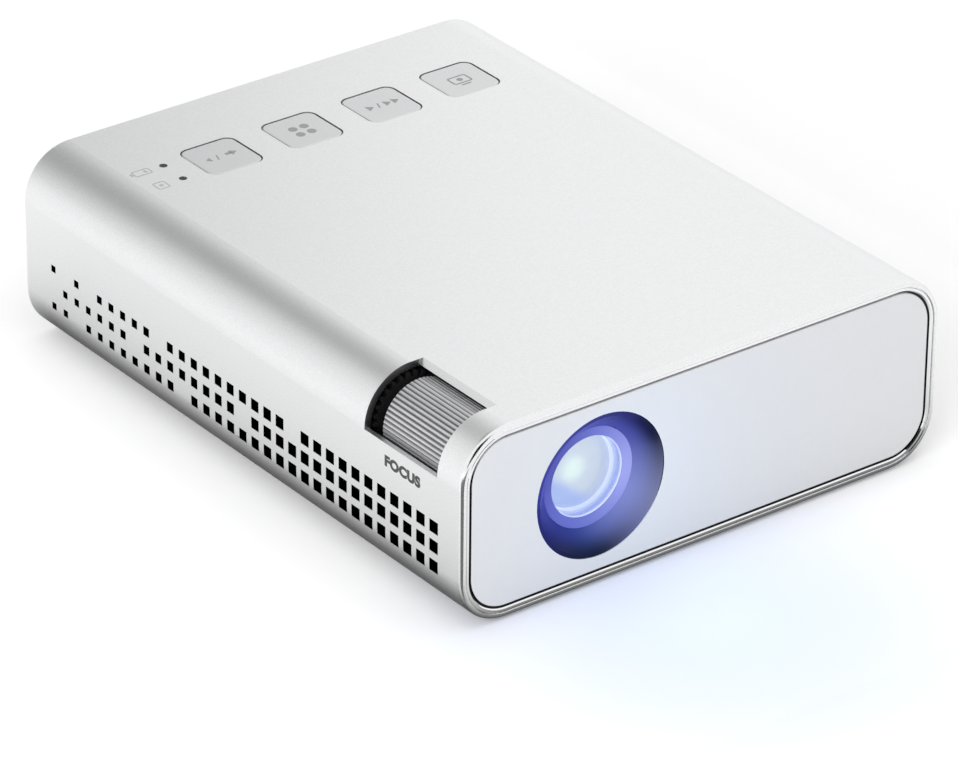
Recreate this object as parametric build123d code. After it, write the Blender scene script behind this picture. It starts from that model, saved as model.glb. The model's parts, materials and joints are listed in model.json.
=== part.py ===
from build123d import *
import math
import os

# Palm-size battery projector. +Z is up, the lens faces -Y, and +X is to the right seen from the front.
# Shapes are drawn with the case underside at z = 0 and lifted onto the feet when they are written.

# ---- case ----
case_depth = 155.0
case_width = 122.7
case_height = 43.5
corner_r = 11.4
wall = 1.6
edge_r = 0.9                # rounded front and rear rim of the sleeve
foot_proud = 0.6

# ---- clearances ----
seat_gap = 0.05             # between pieces that are pushed together
run_gap = 0.05              # radial clearance of a turning or sliding fit
free_gap = 0.3              # between pieces that only pass each other

# ---- front: bright ring, dark seam and glossy panel ----
lip = 1.2                   # sleeve wall left round the ring
ring_width = 1.0
ring_back = 0.15            # set back from the sleeve's rim
ring_length = 3.0
ring_edge = 0.25
seam = 0.5
seam_depth = 1.2            # how far behind the rim the dark gasket lies
panel_back = 0.3
panel_thick = 2.0
panel_edge = 0.3
frame_thick = 2.7
tab_x = (-6.0, 24.0)
tab_width = 8.0
tab_length = 6.0
tab_thick = 1.5

# ---- lens ----
lens_in = 34.92             # from the left side of the case
lens_up = 0.15              # above the middle of the case
aperture_in = 5.7           # from the case's top and bottom to the aperture
hood_rim_back = 0.15
hood_rim = 0.8              # width of the hood's flat front rim
hood_depth = 4.2
hood_throat_r = 11.3
hood_wall = 1.2
hood_tail = 2.6
hood_flange = 1.5
hood_flange_thick = 0.8
cell_r = 10.6
cell_front = 4.8            # depth of the cell's front edge behind the case rim
cell_length = 17.0
front_glass_r = 9.7
front_glass_edge = 3.6
front_glass_bulge = 1.5
cell_lip = 0.5
cell_bore_r = 7.6
barrel_wall = 1.4
barrel_start = 8.4
rear_glass_r = 7.2
rear_glass_thick = 4.0
barrel_flange = 2.0
barrel_flange_up = 1.7      # from the tray to the flange
rear_glass_back = 4.0        # from the light engine to the rear glass
rear_bore = 13.0             # length of the barrel's narrow rear bore
pin_r = 0.9
pin_count = 3
pin_root_r = 8.8
pin_sink = 0.8
cam_depth = 18.0             # of the pins behind the case front
ring_tube = 1.6
ring_lead = 3.2
lens_travel = 0.6
flange_screw_in = 3.5       # from the flange's edges to its screws

# ---- focus drive ----
wheel_r = 9.0
wheel_ribs = 56
groove_r = 0.3
wheel_shell = 1.7
wheel_web = 2.0
opening_front = 8.0         # from the case front to the opening's front edge
opening_rear = 32.1
opening_top_reach = 3.1     # past the start of the corner arc, on the top
opening_side_drop = 0.2     # below the end of the corner arc, on the side
opening_bevel = 1.1
wheel_end_gap = 2.6
wheel_under = 1.1           # how far the wheel runs on under the front edge
shaft_r = 1.5
ear_thick = 1.5
ear_half = 3.5
bracket_base = 1.5
gear_width = 3.0
wheel_teeth = 28
ring_teeth = 56
pressure_deg = 20.0
tooth_backlash = 0.14
addendum = 0.9              # in modules
dedendum = 1.25
gear_hub_r = 4.0

# ---- keys and indicators ----
key_size = 13.4
key_gap = 0.3
key_corner_r = 2.2
key_first_in = 21.75         # from the start of the left corner arc to the first key's middle
key_last_in = 15.15          # from the start of the right one to the last key's middle
key_in = 26.2               # from the rear of the case to the keys' middle
key_names = ("key_back", "key_menu", "key_play", "key_source")
key_below = 0.05
key_edge = 0.25
key_flange = 1.0
key_flange_thick = 0.9
key_travel = 0.4
key_stem_r = 1.5
key_stem = 0.4
key_frame_in = 5.95         # from the start of the corner arc
key_frame_rim = 2.3
key_board_thick = 1.6
switch_size = 6.0
switch_height = 3.1
plunger_r = 1.7
plunger_height = 0.4
led_in = 9.25               # from the start of the corner arc
led_off = (-3.8, 3.5)       # from the keys' middle, along Y
led_hole_r = 0.9
led_set_back = 0.1
led_chip = (1.6, 0.8, 0.7)

# ---- side vents ----
vent_columns = 32
vent_first = 9.04           # from the case front to the first column
vent_last = 10.955          # from the last column to the case rear
vent_rows = (20.3, 15.9, 11.4)
vent_large = 2.8
vent_small = 1.6
vent_even_columns = 11
vent_missing = ((11, 22, 28, 30), (15, 24, 31), (20, 29))
screen_thick = 0.4
screen_margin = 1.4

# ---- rear panel and ports ----
rear_back = 0.8
rear_thick = 2.5
boss_r = 4.6
boss_length = 8.0
boss_in = 5.5               # from the corner arc's centre to the boss
screw_r = 1.25
screw_head_r = 2.3
screw_head = 1.4
port_gap = 0.25
port_back = 0.5             # socket mouth behind the panel's outer face
hdmi_size = (15.2, 12.0, 5.8)
hdmi_x = 4.0
hdmi_shell = 0.4
hdmi_tongue = (11.0, 8.0, 0.9)
usb_size = (13.2, 14.0, 5.8)
usb_x = -18.0
usb_shell = 0.35
usb_tongue = (11.0, 9.0, 1.8)
socket_back = 2.0           # solid rear end of a socket
jack_size = (7.0, 12.0, 6.4)
jack_x = 24.0
jack_bore_r = 1.8
jack_bore_depth = 11.0
inlet_size = (9.0, 13.0, 8.8)
inlet_in = 8.95             # from the start of the corner arc
inlet_bore_r = 2.75
inlet_bore_depth = 9.5
inlet_pin_r = 1.0
switch_body = (12.0, 7.0, 5.4)
switch_in = 6.95            # from the start of the corner arc
slider_size = (4.0, 2.6)     # along X and Z
slider_sunk = 1.6           # how far the slider reaches into its switch
slider_travel = 3.0

# ---- tray, feet and tripod insert ----
foot_in = (19.35, 9.5)      # from the case's sides, and from its ends
foot_r = 5.5
foot_pocket = 0.6
foot_edge = 0.2
floor_boss_r = 4.4
tray_z = 3.2
tray_thick = 1.5
tray_in = 7.35              # from the case's sides
tray_front = 6.0            # from the case front to the tray
tray_rear = 4.0
tray_boss_r = 3.0
tray_boss = 3.0
post_in = 9.75              # from the case's sides
post_ends = (6.0, 12.4)     # from the board's front and rear edges
post_r = 2.3
tripod_x = 16.0
tripod_y = 2.0
tripod_r = 3.175
tripod_depth = 6.5
tripod_cap = 1.4
tripod_wall = 1.4
tripod_flange_r = 6.5
tripod_flange = 1.6

# ---- light engine ----
engine_start = 37.5         # from the case front
engine_left_reach = 19.57   # to the left of the lens axis
engine_right_reach = 24.43
engine_step_reach = 6.43    # to the right of the lens axis
engine_step = 22.0          # length of the wide front part
engine_length = 54.0
engine_headroom = 4.7
engine_wall = 1.8
engine_cover = 1.5
light_axis_reach = 15.93    # from the lens axis to the line of the mirrors
prism_size = 14.0
prism_gap = 1.2
chip_size = (13.0, 1.4, 9.5)
chip_gap = 0.4
chip_board = (22.0, 1.2)    # along X and Y
chip_board_margin = 3.0     # between its ends and the barrel flange's
mirror_size = (9.0, 1.0, 10.0)
mirror_turn_deg = 45.0
red_back = 29.0             # from the engine's front
blue_back = 41.0
integrator_size = (9.0, 2.0, 9.0)
relay_r = 6.0
relay_thick = 2.6
relay_reach = 8.23          # from the lens axis
collimator_r = 4.0
collimator_thick = 2.6
glass_bulge = 0.5
led_base = 11.0
led_base_thick = 2.0
led_emitter = 5.0
led_emitter_thick = 1.4
lug_length = 6.0
lug_width = 8.0
lug_thick = 2.5
side_lug_back = 8.0         # from the engine's front
pad_half = 2.0

# ---- cooling ----
spreader_thick = 8.0
spreader_half_z = 12.5
spreader_half_y = 12.0
rear_spreader = 3.5
rear_spreader_half = 7.5
fan_in = 11.35              # from the right side of the case to the fan
fan_start = 13.0            # from the case front
fan_width = 39.0
fan_length = 42.0
fan_height = 14.0
fan_wall = 1.5
fan_cover_thick = 1.2
rotor_r = 16.4
rotor_gap = 1.2
rotor_blades = 17
rotor_lift = 0.8
blade_thick = 0.8
blade_height = 8.6
blade_turn_deg = 32.0
hub_r = 8.0
hub_wall = 1.0
intake_r = 13.5
fan_shaft_r = 0.75
fan_boss_r = 2.2
fan_boss = 5.5
fin_count = 14
fin_thick = 0.6
fin_width = 8.0
fin_base_z = 7.0
fin_base = 1.0
fin_rail = 3.0
fin_end = 1.0
pipe_r = 2.5
pipe_bend_r = 6.0
pipe_behind_fan = 3.5
pipe_end_in = 2.0           # from the spreader's rear end
pipe_z = 13.5

# ---- speaker ----
speaker_back = 79.5         # from the case front
speaker_plate = 2.0
speaker_half_y = 14.0
speaker_z = (7.6, 23.6)
speaker_r = 7.0
speaker_depth = 4.6
ledge_in = 14.35            # from the right side of the case
ledge_thick = 1.4
cone_thick = 0.4
cone_neck_r = 2.6
cone_depth = 3.0
magnet_r = 5.4
magnet_length = 3.2
basket_wall = 0.8

# ---- battery and boards ----
battery_in = 13.15          # from the case's sides
battery_clear = 0.5         # behind the light engine's rear lug
battery_end = 5.0           # from the case rear
holder_wall = 1.2
holder_rim = 8.0
holder_leg_r = 3.0
holder_leg_in = (8.2, 5.0)  # from the holder's sides and front
battery_height = 13.0
battery_edge_r = 2.0
board_in = 5.35             # from the case's sides
board_step = 0.5            # behind the battery's front
board_end = 4.1             # from the case rear
board_z = 25.0
board_thick = 1.6
driver_half_x = 14.0
driver_half_y = 13.0
driver_reach = 11.57        # to the left of the lens axis
driver_back = 40.0          # from the engine's front
driver_z = 11.0
driver_post_r = 1.8
driver_post_in = 2.5
parts_in = 9.0              # processor behind the front row of parts
processor_size = (16.0, 16.0, 1.6)
processor_x = -8.0
memory_size = (11.0, 8.0, 1.0)
memory_x = 8.5
memory_pitch = 11.0
coil_size = (7.0, 7.0, 4.0)
coils_x = 22.0
coil_pitch = 8.6
cans_x = -41.0
can_r = 2.5
can_height = 5.4
can_pitch = 6.6

# ---- small screws inside ----
small_r = 0.9
small_head_r = 1.7
small_head = 1.1
small_length = 4.0

# ---- derived places ----
front_y = -case_depth / 2
rear_y = case_depth / 2
half_width = case_width / 2
inner_top = case_height - wall
inner_x = half_width - wall
arc_x = half_width - corner_r
arc_top_z = case_height - corner_r
tray_top = tray_z + tray_thick
tray_half_x = half_width - tray_in
lens_x = lens_in - half_width
lens_z = case_height / 2 + lens_up
aperture_r = case_height / 2 - aperture_in
ring_outer = lip + seat_gap
ring_inner = ring_outer + ring_width
panel_inset = ring_inner + seam
flange_y = front_y + ring_back + ring_length
panel_face = front_y + panel_back
panel_rear = panel_face + panel_thick
frame_rear = panel_rear + frame_thick
rear_face = rear_y - rear_back
rear_inside = rear_face - rear_thick
mouth_y = rear_face - port_back
wheel_x = -arc_x
wheel_z = arc_top_z
opening_y0 = front_y + opening_front
opening_y1 = front_y + opening_rear
wheel_y0 = opening_y0 - wheel_under
wheel_y1 = opening_y1 - wheel_end_gap
gear_y0 = opening_y1 + 2 * seat_gap
gear_y1 = gear_y0 + gear_width
axis_distance = math.hypot(lens_x - wheel_x, lens_z - wheel_z)
gear_module = 2 * axis_distance / (wheel_teeth + ring_teeth)
axis_angle = math.atan2(lens_z - wheel_z, lens_x - wheel_x)
barrel_bore_r = cell_r + run_gap
barrel_r = barrel_bore_r + barrel_wall
barrel_y0 = front_y + barrel_start
cell_y0 = front_y + cell_front
cell_y1 = cell_y0 + cell_length
cam_y = front_y + cam_depth
barrel_flange_half = lens_z - tray_top - barrel_flange_up
flange_screw = barrel_flange_half - flange_screw_in
engine_front = front_y + engine_start
engine_rear = engine_front + engine_length
engine_step_y = engine_front + engine_step
engine_left = lens_x - engine_left_reach
engine_right = lens_x + engine_right_reach
engine_step_x = lens_x + engine_step_reach
engine_top = inner_top - engine_headroom - engine_cover
light_axis_x = lens_x + light_axis_reach
relay_x = lens_x + relay_reach
red_y = engine_front + red_back
blue_y = engine_front + blue_back
side_lug_y = engine_front + side_lug_back
key_top = case_height - key_below
key_flange_top = inner_top - seat_gap
key_stem_z = key_flange_top - key_flange_thick - key_stem
key_board_top = key_stem_z - key_travel - seat_gap - plunger_height - switch_height
key_y = rear_y - key_in
key_first_x = key_first_in - arc_x
key_pitch = (arc_x - key_last_in - key_first_x) / (len(key_names) - 1)
key_xs = [key_first_x + i * key_pitch for i in range(len(key_names))]
key_frame_x = arc_x - key_frame_in
led_x = led_in - arc_x
led_y = [key_y + off for off in led_off]
vent_pitch = (case_depth - vent_first - vent_last) / (vent_columns - 1)
inlet_x = inlet_in - arc_x
switch_x = arc_x - switch_in
pocket = key_size + 2 * key_flange + 2 * free_gap
key_frame_half_y = pocket / 2 + key_frame_rim
boss_offset = boss_in / math.sqrt(2)
boss_x = arc_x + boss_offset
boss_z = (corner_r - boss_offset, arc_top_z + boss_offset)
board_top = board_z + board_thick
battery_half_x = half_width - battery_in
battery_front = engine_rear + lug_length + battery_clear
battery_rear = rear_y - battery_end
board_half_x = half_width - board_in
board_front = battery_front + board_step
board_rear = rear_y - board_end
post_x = half_width - post_in
post_y = (board_front + post_ends[0], board_rear - post_ends[1])
driver_x = lens_x - driver_reach
driver_y = engine_front + driver_back
fan_left = half_width - fan_in - fan_width
fan_front = front_y + fan_start
fan_x = fan_left + fan_wall + rotor_r + rotor_gap
fan_y = fan_front + fan_length / 2
fan_right = fan_left + fan_width
fan_top = tray_top + fan_height
fin_left = fan_right + free_gap
fan_rear = fan_front + fan_length
pipe_x = engine_right + led_base_thick + spreader_thick
pipe_row_y = fan_rear + pipe_behind_fan
pipe_turn_x = fin_left + fin_width / 2
prism_front = engine_front + engine_wall + prism_gap
light_y = prism_front + prism_size / 2
spreader_y = (red_y + blue_y) / 2
pipe_start_y = spreader_y + spreader_half_y - pipe_end_in
speaker_y = front_y + speaker_back
ledge_left = half_width - ledge_in
speaker_face = inner_x - screen_thick - 2 * free_gap
speaker_mid_z = (speaker_z[0] + speaker_z[1]) / 2 + ledge_thick / 2
battery_z = tray_top + tray_boss
panel_outline = wall + seat_gap
screen_inset = wall + seat_gap
tab_screw_y = frame_rear + tab_length / 2
key_gaps = [(a + b) / 2 for a, b in zip(key_xs, key_xs[1:])]
foot_x = half_width - foot_in[0]
foot_y = rear_y - foot_in[1]
foot_places = [(x, y) for x in (-foot_x, foot_x) for y in (-foot_y, foot_y)]
boss_places = [(x, z) for x in (-boss_x, boss_x) for z in boss_z]
post_places = [(x, y) for x in (-post_x, post_x) for y in post_y]


# ---- small helpers ----
def block(x0, x1, y0, y1, z0, z1):
    return Pos((x0 + x1) / 2, (y0 + y1) / 2, (z0 + z1) / 2) * Box(x1 - x0, y1 - y0, z1 - z0)


def along_y(face, x, z, y0, y1):
    """Sweeps a flat outline, drawn with its first axis along X and second along Z, from y0 to y1."""
    plane = Plane(origin=(x, y1, z), x_dir=(1, 0, 0), z_dir=(0, -1, 0))
    return extrude(plane * face, amount=y1 - y0)


def rod_y(radius, x, z, y0, y1):
    return along_y(Circle(radius), x, z, y0, y1)


def rod_x(radius, y, z, x0, x1):
    plane = Plane(origin=(x0, y, z), x_dir=(0, 1, 0), z_dir=(1, 0, 0))
    return extrude(plane * Circle(radius), amount=x1 - x0)


def rod_z(radius, x, y, z0, z1):
    return extrude(Plane(origin=(x, y, z0)) * Circle(radius), amount=z1 - z0)


def plate_z(width, length, radius, x, y, z0, z1):
    return extrude(Plane(origin=(x, y, z0)) * RectangleRounded(width, length, radius), amount=z1 - z0)


def case_solid(inset, y0, y1):
    """The case section, moved inwards by inset, from y0 to y1."""
    outline = RectangleRounded(case_width - 2 * inset, case_height - 2 * inset, corner_r - inset)
    return along_y(outline, 0, case_height / 2, y0, y1)


def turned_y(points, x, z):
    """Turns a closed outline of (radius, y) points about the line along Y through x, z."""
    outline = make_face(Polyline(*points, close=True))
    return Pos(x, 0, z) * revolve(outline, Axis.Y, 360)


def glass_y(radius, x, z, y0, edge, front_bulge=0.0, rear_bulge=0.0):
    """A round glass on an axis along Y. Its rim runs from y0 for edge, and its faces are spherical."""
    glass = rod_y(radius, x, z, y0, y0 + edge)
    for bulge, y, side in ((front_bulge, y0, 1), (rear_bulge, y0 + edge, -1)):
        if bulge > 0:
            ball_r = (radius ** 2 + bulge ** 2) / (2 * bulge)
            ball = Pos(x, y + side * (ball_r - bulge), z) * Sphere(ball_r)
            low, high = sorted((y, y - side * bulge))
            glass += ball & rod_y(radius, x, z, low, high)
    return glass


def glass_x(radius, y, z, x0, edge, bulge):
    """The same on an axis along X, bulging towards -X."""
    turn = Plane(origin=(x0, y, z), x_dir=(0, 1, 0), z_dir=(0, 0, 1))
    return turn * glass_y(radius, 0, 0, -edge, edge, 0.0, bulge)


def edges_at_y(part, y):
    return part.edges().filter_by_position(Axis.Y, y - 0.001, y + 0.001)


def edges_at_z(part, z):
    return part.edges().filter_by_position(Axis.Z, z - 0.001, z + 0.001)


def group(parts):
    return Compound([s for part in parts for s in part.solids()])


def screw_z(x, y, seat, length, up=1, radius=small_r, head_r=small_head_r, head=small_head):
    """A screw with its head above the seat, or below it when up is -1."""
    top = rod_z(head_r, x, y, *sorted((seat, seat + up * head)))
    return top + rod_z(radius, x, y, *sorted((seat, seat - up * length)))


def screw_y(x, z, seat, length, front=1, radius=small_r, head_r=small_head_r, head=small_head):
    """A screw along Y with its head in front of the seat, or behind it when front is -1."""
    top = rod_y(head_r, x, z, *sorted((seat, seat - front * head)))
    return top + rod_y(radius, x, z, *sorted((seat, seat + front * length)))


def gear_outline(teeth, angle):
    """An involute spur gear outline with one tooth centred on angle."""
    pitch_r = gear_module * teeth / 2
    base_r = pitch_r * math.cos(math.radians(pressure_deg))
    tip_r = pitch_r + addendum * gear_module
    root_r = pitch_r - dedendum * gear_module
    start_r = max(base_r, root_r)

    def roll(r):
        a = math.acos(min(1.0, base_r / r))
        return math.tan(a) - a

    def at(r, a):
        return (r * math.cos(a), r * math.sin(a))

    half = (math.pi * pitch_r / teeth - tooth_backlash / 2) / (2 * pitch_r) + roll(pitch_r)
    root_half = half - roll(start_r)
    radii = [start_r + (tip_r - start_r) * k / 3 for k in range(4)]
    step = 2 * math.pi / teeth
    lines = []
    for i in range(teeth):
        mid = angle + i * step
        rise = [at(r, mid - half + roll(r)) for r in radii]
        fall = [at(r, mid + half - roll(r)) for r in reversed(radii)]
        end = at(root_r, mid + root_half)
        if root_r < base_r:
            lines += [Line(at(root_r, mid - root_half), rise[0]), Line(fall[-1], end)]
        lines += [Spline(*rise), Line(rise[-1], fall[0]), Spline(*fall)]
        lines.append(Line(end, at(root_r, mid + step - root_half)))
    return make_face(lines)


# ---- outer case ----
def wheel_cut():
    """The opening over the focus wheel, bevelled where it meets the top."""
    edge_x = wheel_x + opening_top_reach
    low_z = wheel_z - opening_side_drop
    out = corner_r
    points = [
        (edge_x - opening_bevel, low_z),
        (edge_x - opening_bevel, case_height - opening_bevel),
        (edge_x, case_height),
        (edge_x, case_height + out),
        (-half_width - out, case_height + out),
        (-half_width - out, low_z),
    ]
    return along_y(make_face(Polyline(*points, close=True)), 0, 0, opening_y0, opening_y1)


def vent_size(column):
    share = max(0.0, (column - vent_even_columns) / (vent_columns - 1 - vent_even_columns))
    return vent_large + (vent_small - vent_large) * share


def vent_cuts(side):
    """Three rows of square holes in one side wall, smaller towards the rear."""
    ends = sorted((side * (arc_x + corner_r / 2), side * (half_width + 1)))
    cuts = []
    for z, missing in zip(vent_rows, vent_missing):
        for column in range(vent_columns):
            if column not in missing:
                half = vent_size(column) / 2
                y = front_y + vent_first + column * vent_pitch
                cuts.append(block(*ends, y - half, y + half, z - half, z + half))
    return cuts


def key_cuts():
    size = key_size + 2 * key_gap
    cuts = [plate_z(size, size, key_corner_r + key_gap, x, key_y, inner_top - 1, case_height + 1)
            for x in key_xs]
    cuts += [rod_z(led_hole_r, led_x, y, inner_top - 1, case_height + 1) for y in led_y]
    return cuts


def outer_sleeve():
    body = case_solid(0, front_y, rear_y)
    body = fillet(edges_at_y(body, front_y) + edges_at_y(body, rear_y), edge_r)
    body -= case_solid(wall, front_y - 1, rear_y + 1)
    body -= case_solid(lip, front_y - 1, flange_y)
    for x, y in foot_places:
        body += rod_z(floor_boss_r, x, y, wall / 2, tray_z)
    for x, z in boss_places:
        body += rod_y(boss_r, x, z, rear_inside - boss_length, rear_inside)
    cuts = [wheel_cut()] + vent_cuts(-1) + vent_cuts(1) + key_cuts()
    for x, y in foot_places:
        cuts.append(rod_z(foot_r + 2 * seat_gap, x, y, -1, foot_pocket))
        cuts.append(rod_z(screw_head_r + 2 * seat_gap, x, y, 0, foot_pocket + screw_head))
        cuts.append(rod_z(screw_r + 2 * seat_gap, x, y, 0, tray_z + 1))
    for x, z in boss_places:
        cuts.append(rod_y(screw_r + seat_gap, x, z, rear_inside - boss_length, rear_inside + 1))
    cuts.append(rod_z(tripod_r + tripod_wall + 2 * seat_gap, tripod_x, tripod_y, -1, wall + 1))
    return body - cuts


def front_ring():
    y0 = front_y + ring_back
    body = case_solid(ring_outer, y0, flange_y) - case_solid(ring_inner, y0 - 1, flange_y + 1)
    return chamfer(edges_at_y(body, y0), ring_edge)


def front_gasket():
    y0 = front_y + seam_depth
    outer = case_solid(ring_inner + seat_gap, y0, flange_y)
    return outer - case_solid(panel_inset - seat_gap, y0 - 1, flange_y + 1)


def front_panel():
    body = case_solid(panel_inset, panel_face, panel_rear)
    body = fillet(edges_at_y(body, panel_face), panel_edge)
    return body - rod_y(aperture_r, lens_x, lens_z, panel_face - 1, panel_rear + 1)


def hood_radii():
    """The hood's rim, flange, neck and tail radii, outside."""
    rim = aperture_r - 2 * seat_gap
    tail = hood_throat_r + hood_wall
    return rim, rim + hood_flange, (rim + tail) / 2, tail


def front_frame():
    """The carrier behind the panel, with two tabs screwed down to the tray."""
    body = case_solid(panel_inset, panel_rear, frame_rear) + case_solid(panel_outline, flange_y, frame_rear)
    for x in tab_x:
        body += block(x - tab_width / 2, x + tab_width / 2, frame_rear - 1, frame_rear + tab_length,
                      tray_top, tray_top + tab_thick)
    rim, flange, neck, tail = hood_radii()
    cuts = [rod_y(flange + seat_gap, lens_x, lens_z, panel_rear - 1,
                  panel_rear + hood_flange_thick + seat_gap)]
    cuts.append(rod_y(neck + free_gap, lens_x, lens_z, panel_rear - 1, frame_rear + 1))
    cuts += [rod_z(small_r + seat_gap, x, tab_screw_y, 0, tray_top + tab_thick + 1) for x in tab_x]
    return body - cuts


def lens_hood():
    """The dark cone between the panel and the lens, with a flange trapped behind the panel."""
    rim, flange, neck, tail = hood_radii()
    y0 = panel_face + hood_rim_back
    flange_end = panel_rear + hood_flange_thick
    throat_y = front_y + hood_depth
    end_y = throat_y + hood_tail
    points = [
        (rim, y0), (rim, panel_rear), (flange, panel_rear), (flange, flange_end), (neck, flange_end),
        (tail, throat_y + hood_wall), (tail, end_y), (hood_throat_r, end_y), (hood_throat_r, throat_y),
        (rim - hood_rim, y0),
    ]
    return turned_y(points, lens_x, lens_z)


def vent_screens():
    """Fine dust screens that line the wall behind the side vents."""
    y0 = front_y + vent_first - vent_pitch / 2
    y1 = y0 + vent_columns * vent_pitch
    band = case_solid(screen_inset, y0, y1) - case_solid(screen_inset + screen_thick, y0 - 1, y1 + 1)
    z0 = min(vent_rows) - vent_large / 2 - screen_margin
    z1 = max(vent_rows) + vent_large / 2 + screen_margin
    inner = arc_x + corner_r / 2
    boxes = [block(*sorted((side * inner, side * half_width)), y0, y1, z0, z1) for side in (-1, 1)]
    return group([band & box for box in boxes])


def rubber_feet():
    feet = []
    for x, y in foot_places:
        foot = rod_z(foot_r, x, y, -foot_proud, foot_pocket - seat_gap)
        feet.append(chamfer(edges_at_z(foot, -foot_proud), foot_edge))
    return group(feet)


def case_screws():
    """Four screws under the feet into the tray, and four through the rear panel."""
    length = tray_top + tray_boss - foot_pocket - screw_head - 2 * free_gap
    sizes = dict(radius=screw_r, head_r=screw_head_r, head=screw_head - seat_gap)
    screws = [screw_z(x, y, foot_pocket + screw_head, length, up=-1, **sizes) for x, y in foot_places]
    seat = rear_face - screw_head
    screws += [screw_y(x, z, seat, boss_length - 2 * free_gap, front=-1, **sizes) for x, z in boss_places]
    return group(screws)


# ---- tray and what is fixed under it ----
def chassis_tray():
    """The floor plate that carries everything, with bosses for the case screws and posts for the boards."""
    y0 = front_y + tray_front
    y1 = rear_y - tray_rear
    body = block(-tray_half_x, tray_half_x, y0, y1, tray_z, tray_top)
    for x, y in foot_places:
        body += rod_z(tray_boss_r, x, y, tray_z, tray_top + tray_boss)
    for x, y in post_places:
        body += rod_z(post_r, x, y, tray_z, board_z)
    for x, y in driver_posts():
        body += rod_z(driver_post_r, x, y, tray_z, driver_z)
    cuts = [rod_z(screw_r + seat_gap, x, y, tray_z - 1, tray_top + tray_boss + 1) for x, y in foot_places]
    cuts += [rod_z(small_r, x, y, board_z - small_length - 1, board_z + 1) for x, y in post_places]
    cuts += [rod_z(small_r, x, y, tray_z - 1, driver_z + 1) for x, y in driver_posts()]
    cuts += [rod_z(small_r, x, tab_screw_y, tray_z - 1, tray_top + 1) for x in tab_x]
    cuts += [rod_z(small_r, x, y, tray_z - 1, tray_top + 1) for x, y in lug_places()]
    cuts += [rod_z(small_r, x, y, tray_z - 1, tray_top + 1) for x, y in fan_screw_places()]
    cuts.append(rod_z(tripod_r + tripod_wall + 2 * seat_gap, tripod_x, tripod_y, tray_z - 1, tray_top + 1))
    for side in (-1, 1):
        notch = sorted((side * (boss_x - boss_r - free_gap), side * half_width))
        cuts.append(block(*notch, rear_inside - boss_length - free_gap, rear_y, tray_z - 1, tray_top + 1))
    gear_r = gear_module * (ring_teeth / 2 + 1)
    reach = math.sqrt(max(0.0, gear_r ** 2 - (lens_z - tray_top - free_gap) ** 2)) + 2 * free_gap
    cuts.append(block(lens_x - reach, lens_x + reach, gear_y0 - free_gap, gear_y1 + free_gap,
                      tray_z - 1, tray_top + 1))
    return body - cuts


def tripod_insert():
    """A blind flanged nut under the case for a tripod screw."""
    outer_r = tripod_r + tripod_wall
    body = rod_z(outer_r, tripod_x, tripod_y, seat_gap, tripod_depth + tripod_cap)
    body += rod_z(tripod_flange_r, tripod_x, tripod_y, tray_top, tray_top + tripod_flange)
    return body - rod_z(tripod_r, tripod_x, tripod_y, -1, tripod_depth)


# ---- keys ----
def key_cap(x):
    """One key with the flange that holds it in, and the stem over its switch."""
    flange = key_size + 2 * key_flange
    low = key_flange_top - key_flange_thick
    cap = plate_z(key_size, key_size, key_corner_r, x, key_y, low, key_top)
    cap = fillet(edges_at_z(cap, key_top), key_edge)
    cap += plate_z(flange, flange, key_corner_r, x, key_y, low, key_flange_top)
    return cap + rod_z(key_stem_r, x, key_y, key_stem_z, low)


def key_frame():
    """The guide under the top wall that the four keys slide in."""
    body = block(-key_frame_x, key_frame_x, key_y - key_frame_half_y, key_y + key_frame_half_y,
                 key_board_top, inner_top)
    cuts = [plate_z(pocket, pocket, key_corner_r, x, key_y, key_board_top - 1, inner_top + 1) for x in key_xs]
    cuts += [rod_z(led_hole_r, led_x, y, key_board_top - 1, inner_top + 1) for y in led_y]
    cuts += [rod_z(small_r, x, key_y, key_board_top - 1, key_board_top + small_length) for x in key_gaps]
    return body - cuts


def key_board():
    half_y = key_frame_half_y - free_gap
    board = block(-key_frame_x + free_gap, key_frame_x - free_gap, key_y - half_y, key_y + half_y,
                  key_board_top - key_board_thick, key_board_top)
    return board - [rod_z(small_r + seat_gap, x, key_y, 0, inner_top) for x in key_gaps]


def key_board_parts():
    """A push switch under each key and a lamp chip under each indicator."""
    parts = []
    half = switch_size / 2
    body_top = key_board_top + switch_height
    for x in key_xs:
        body = block(x - half, x + half, key_y - half, key_y + half, key_board_top, body_top)
        parts.append(body + rod_z(plunger_r, x, key_y, body_top, body_top + plunger_height))
    long, wide, high = led_chip
    for y in led_y:
        parts.append(block(led_x - long / 2, led_x + long / 2, y - wide / 2, y + wide / 2,
                           key_board_top, key_board_top + high))
    return group(parts)


def indicator_lenses():
    z0 = key_board_top + led_chip[2] + seat_gap
    return group([rod_z(led_hole_r - seat_gap, led_x, y, z0, case_height - led_set_back) for y in led_y])


# ---- focus drive ----
def focus_wheel():
    """The ribbed wheel that shows in the corner opening, hollow and closed at its rear end."""
    body = rod_y(wheel_r, wheel_x, wheel_z, wheel_y0, wheel_y1)
    body = chamfer(edges_at_y(body, wheel_y1), groove_r)
    cuts = []
    for i in range(wheel_ribs):
        a = 2 * math.pi * (i + 0.5) / wheel_ribs
        cuts.append(rod_y(groove_r, wheel_x + wheel_r * math.cos(a), wheel_z + wheel_r * math.sin(a),
                          wheel_y0 - 1, wheel_y1 + 1))
    body -= cuts
    body -= rod_y(wheel_r - wheel_shell, wheel_x, wheel_z, wheel_y0 - 1, wheel_y1 - wheel_web)
    body += rod_y(gear_hub_r, wheel_x, wheel_z, wheel_y0, wheel_y1)
    return body - rod_y(shaft_r + seat_gap, wheel_x, wheel_z, wheel_y0 - 1, wheel_y1 + 1)


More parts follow.
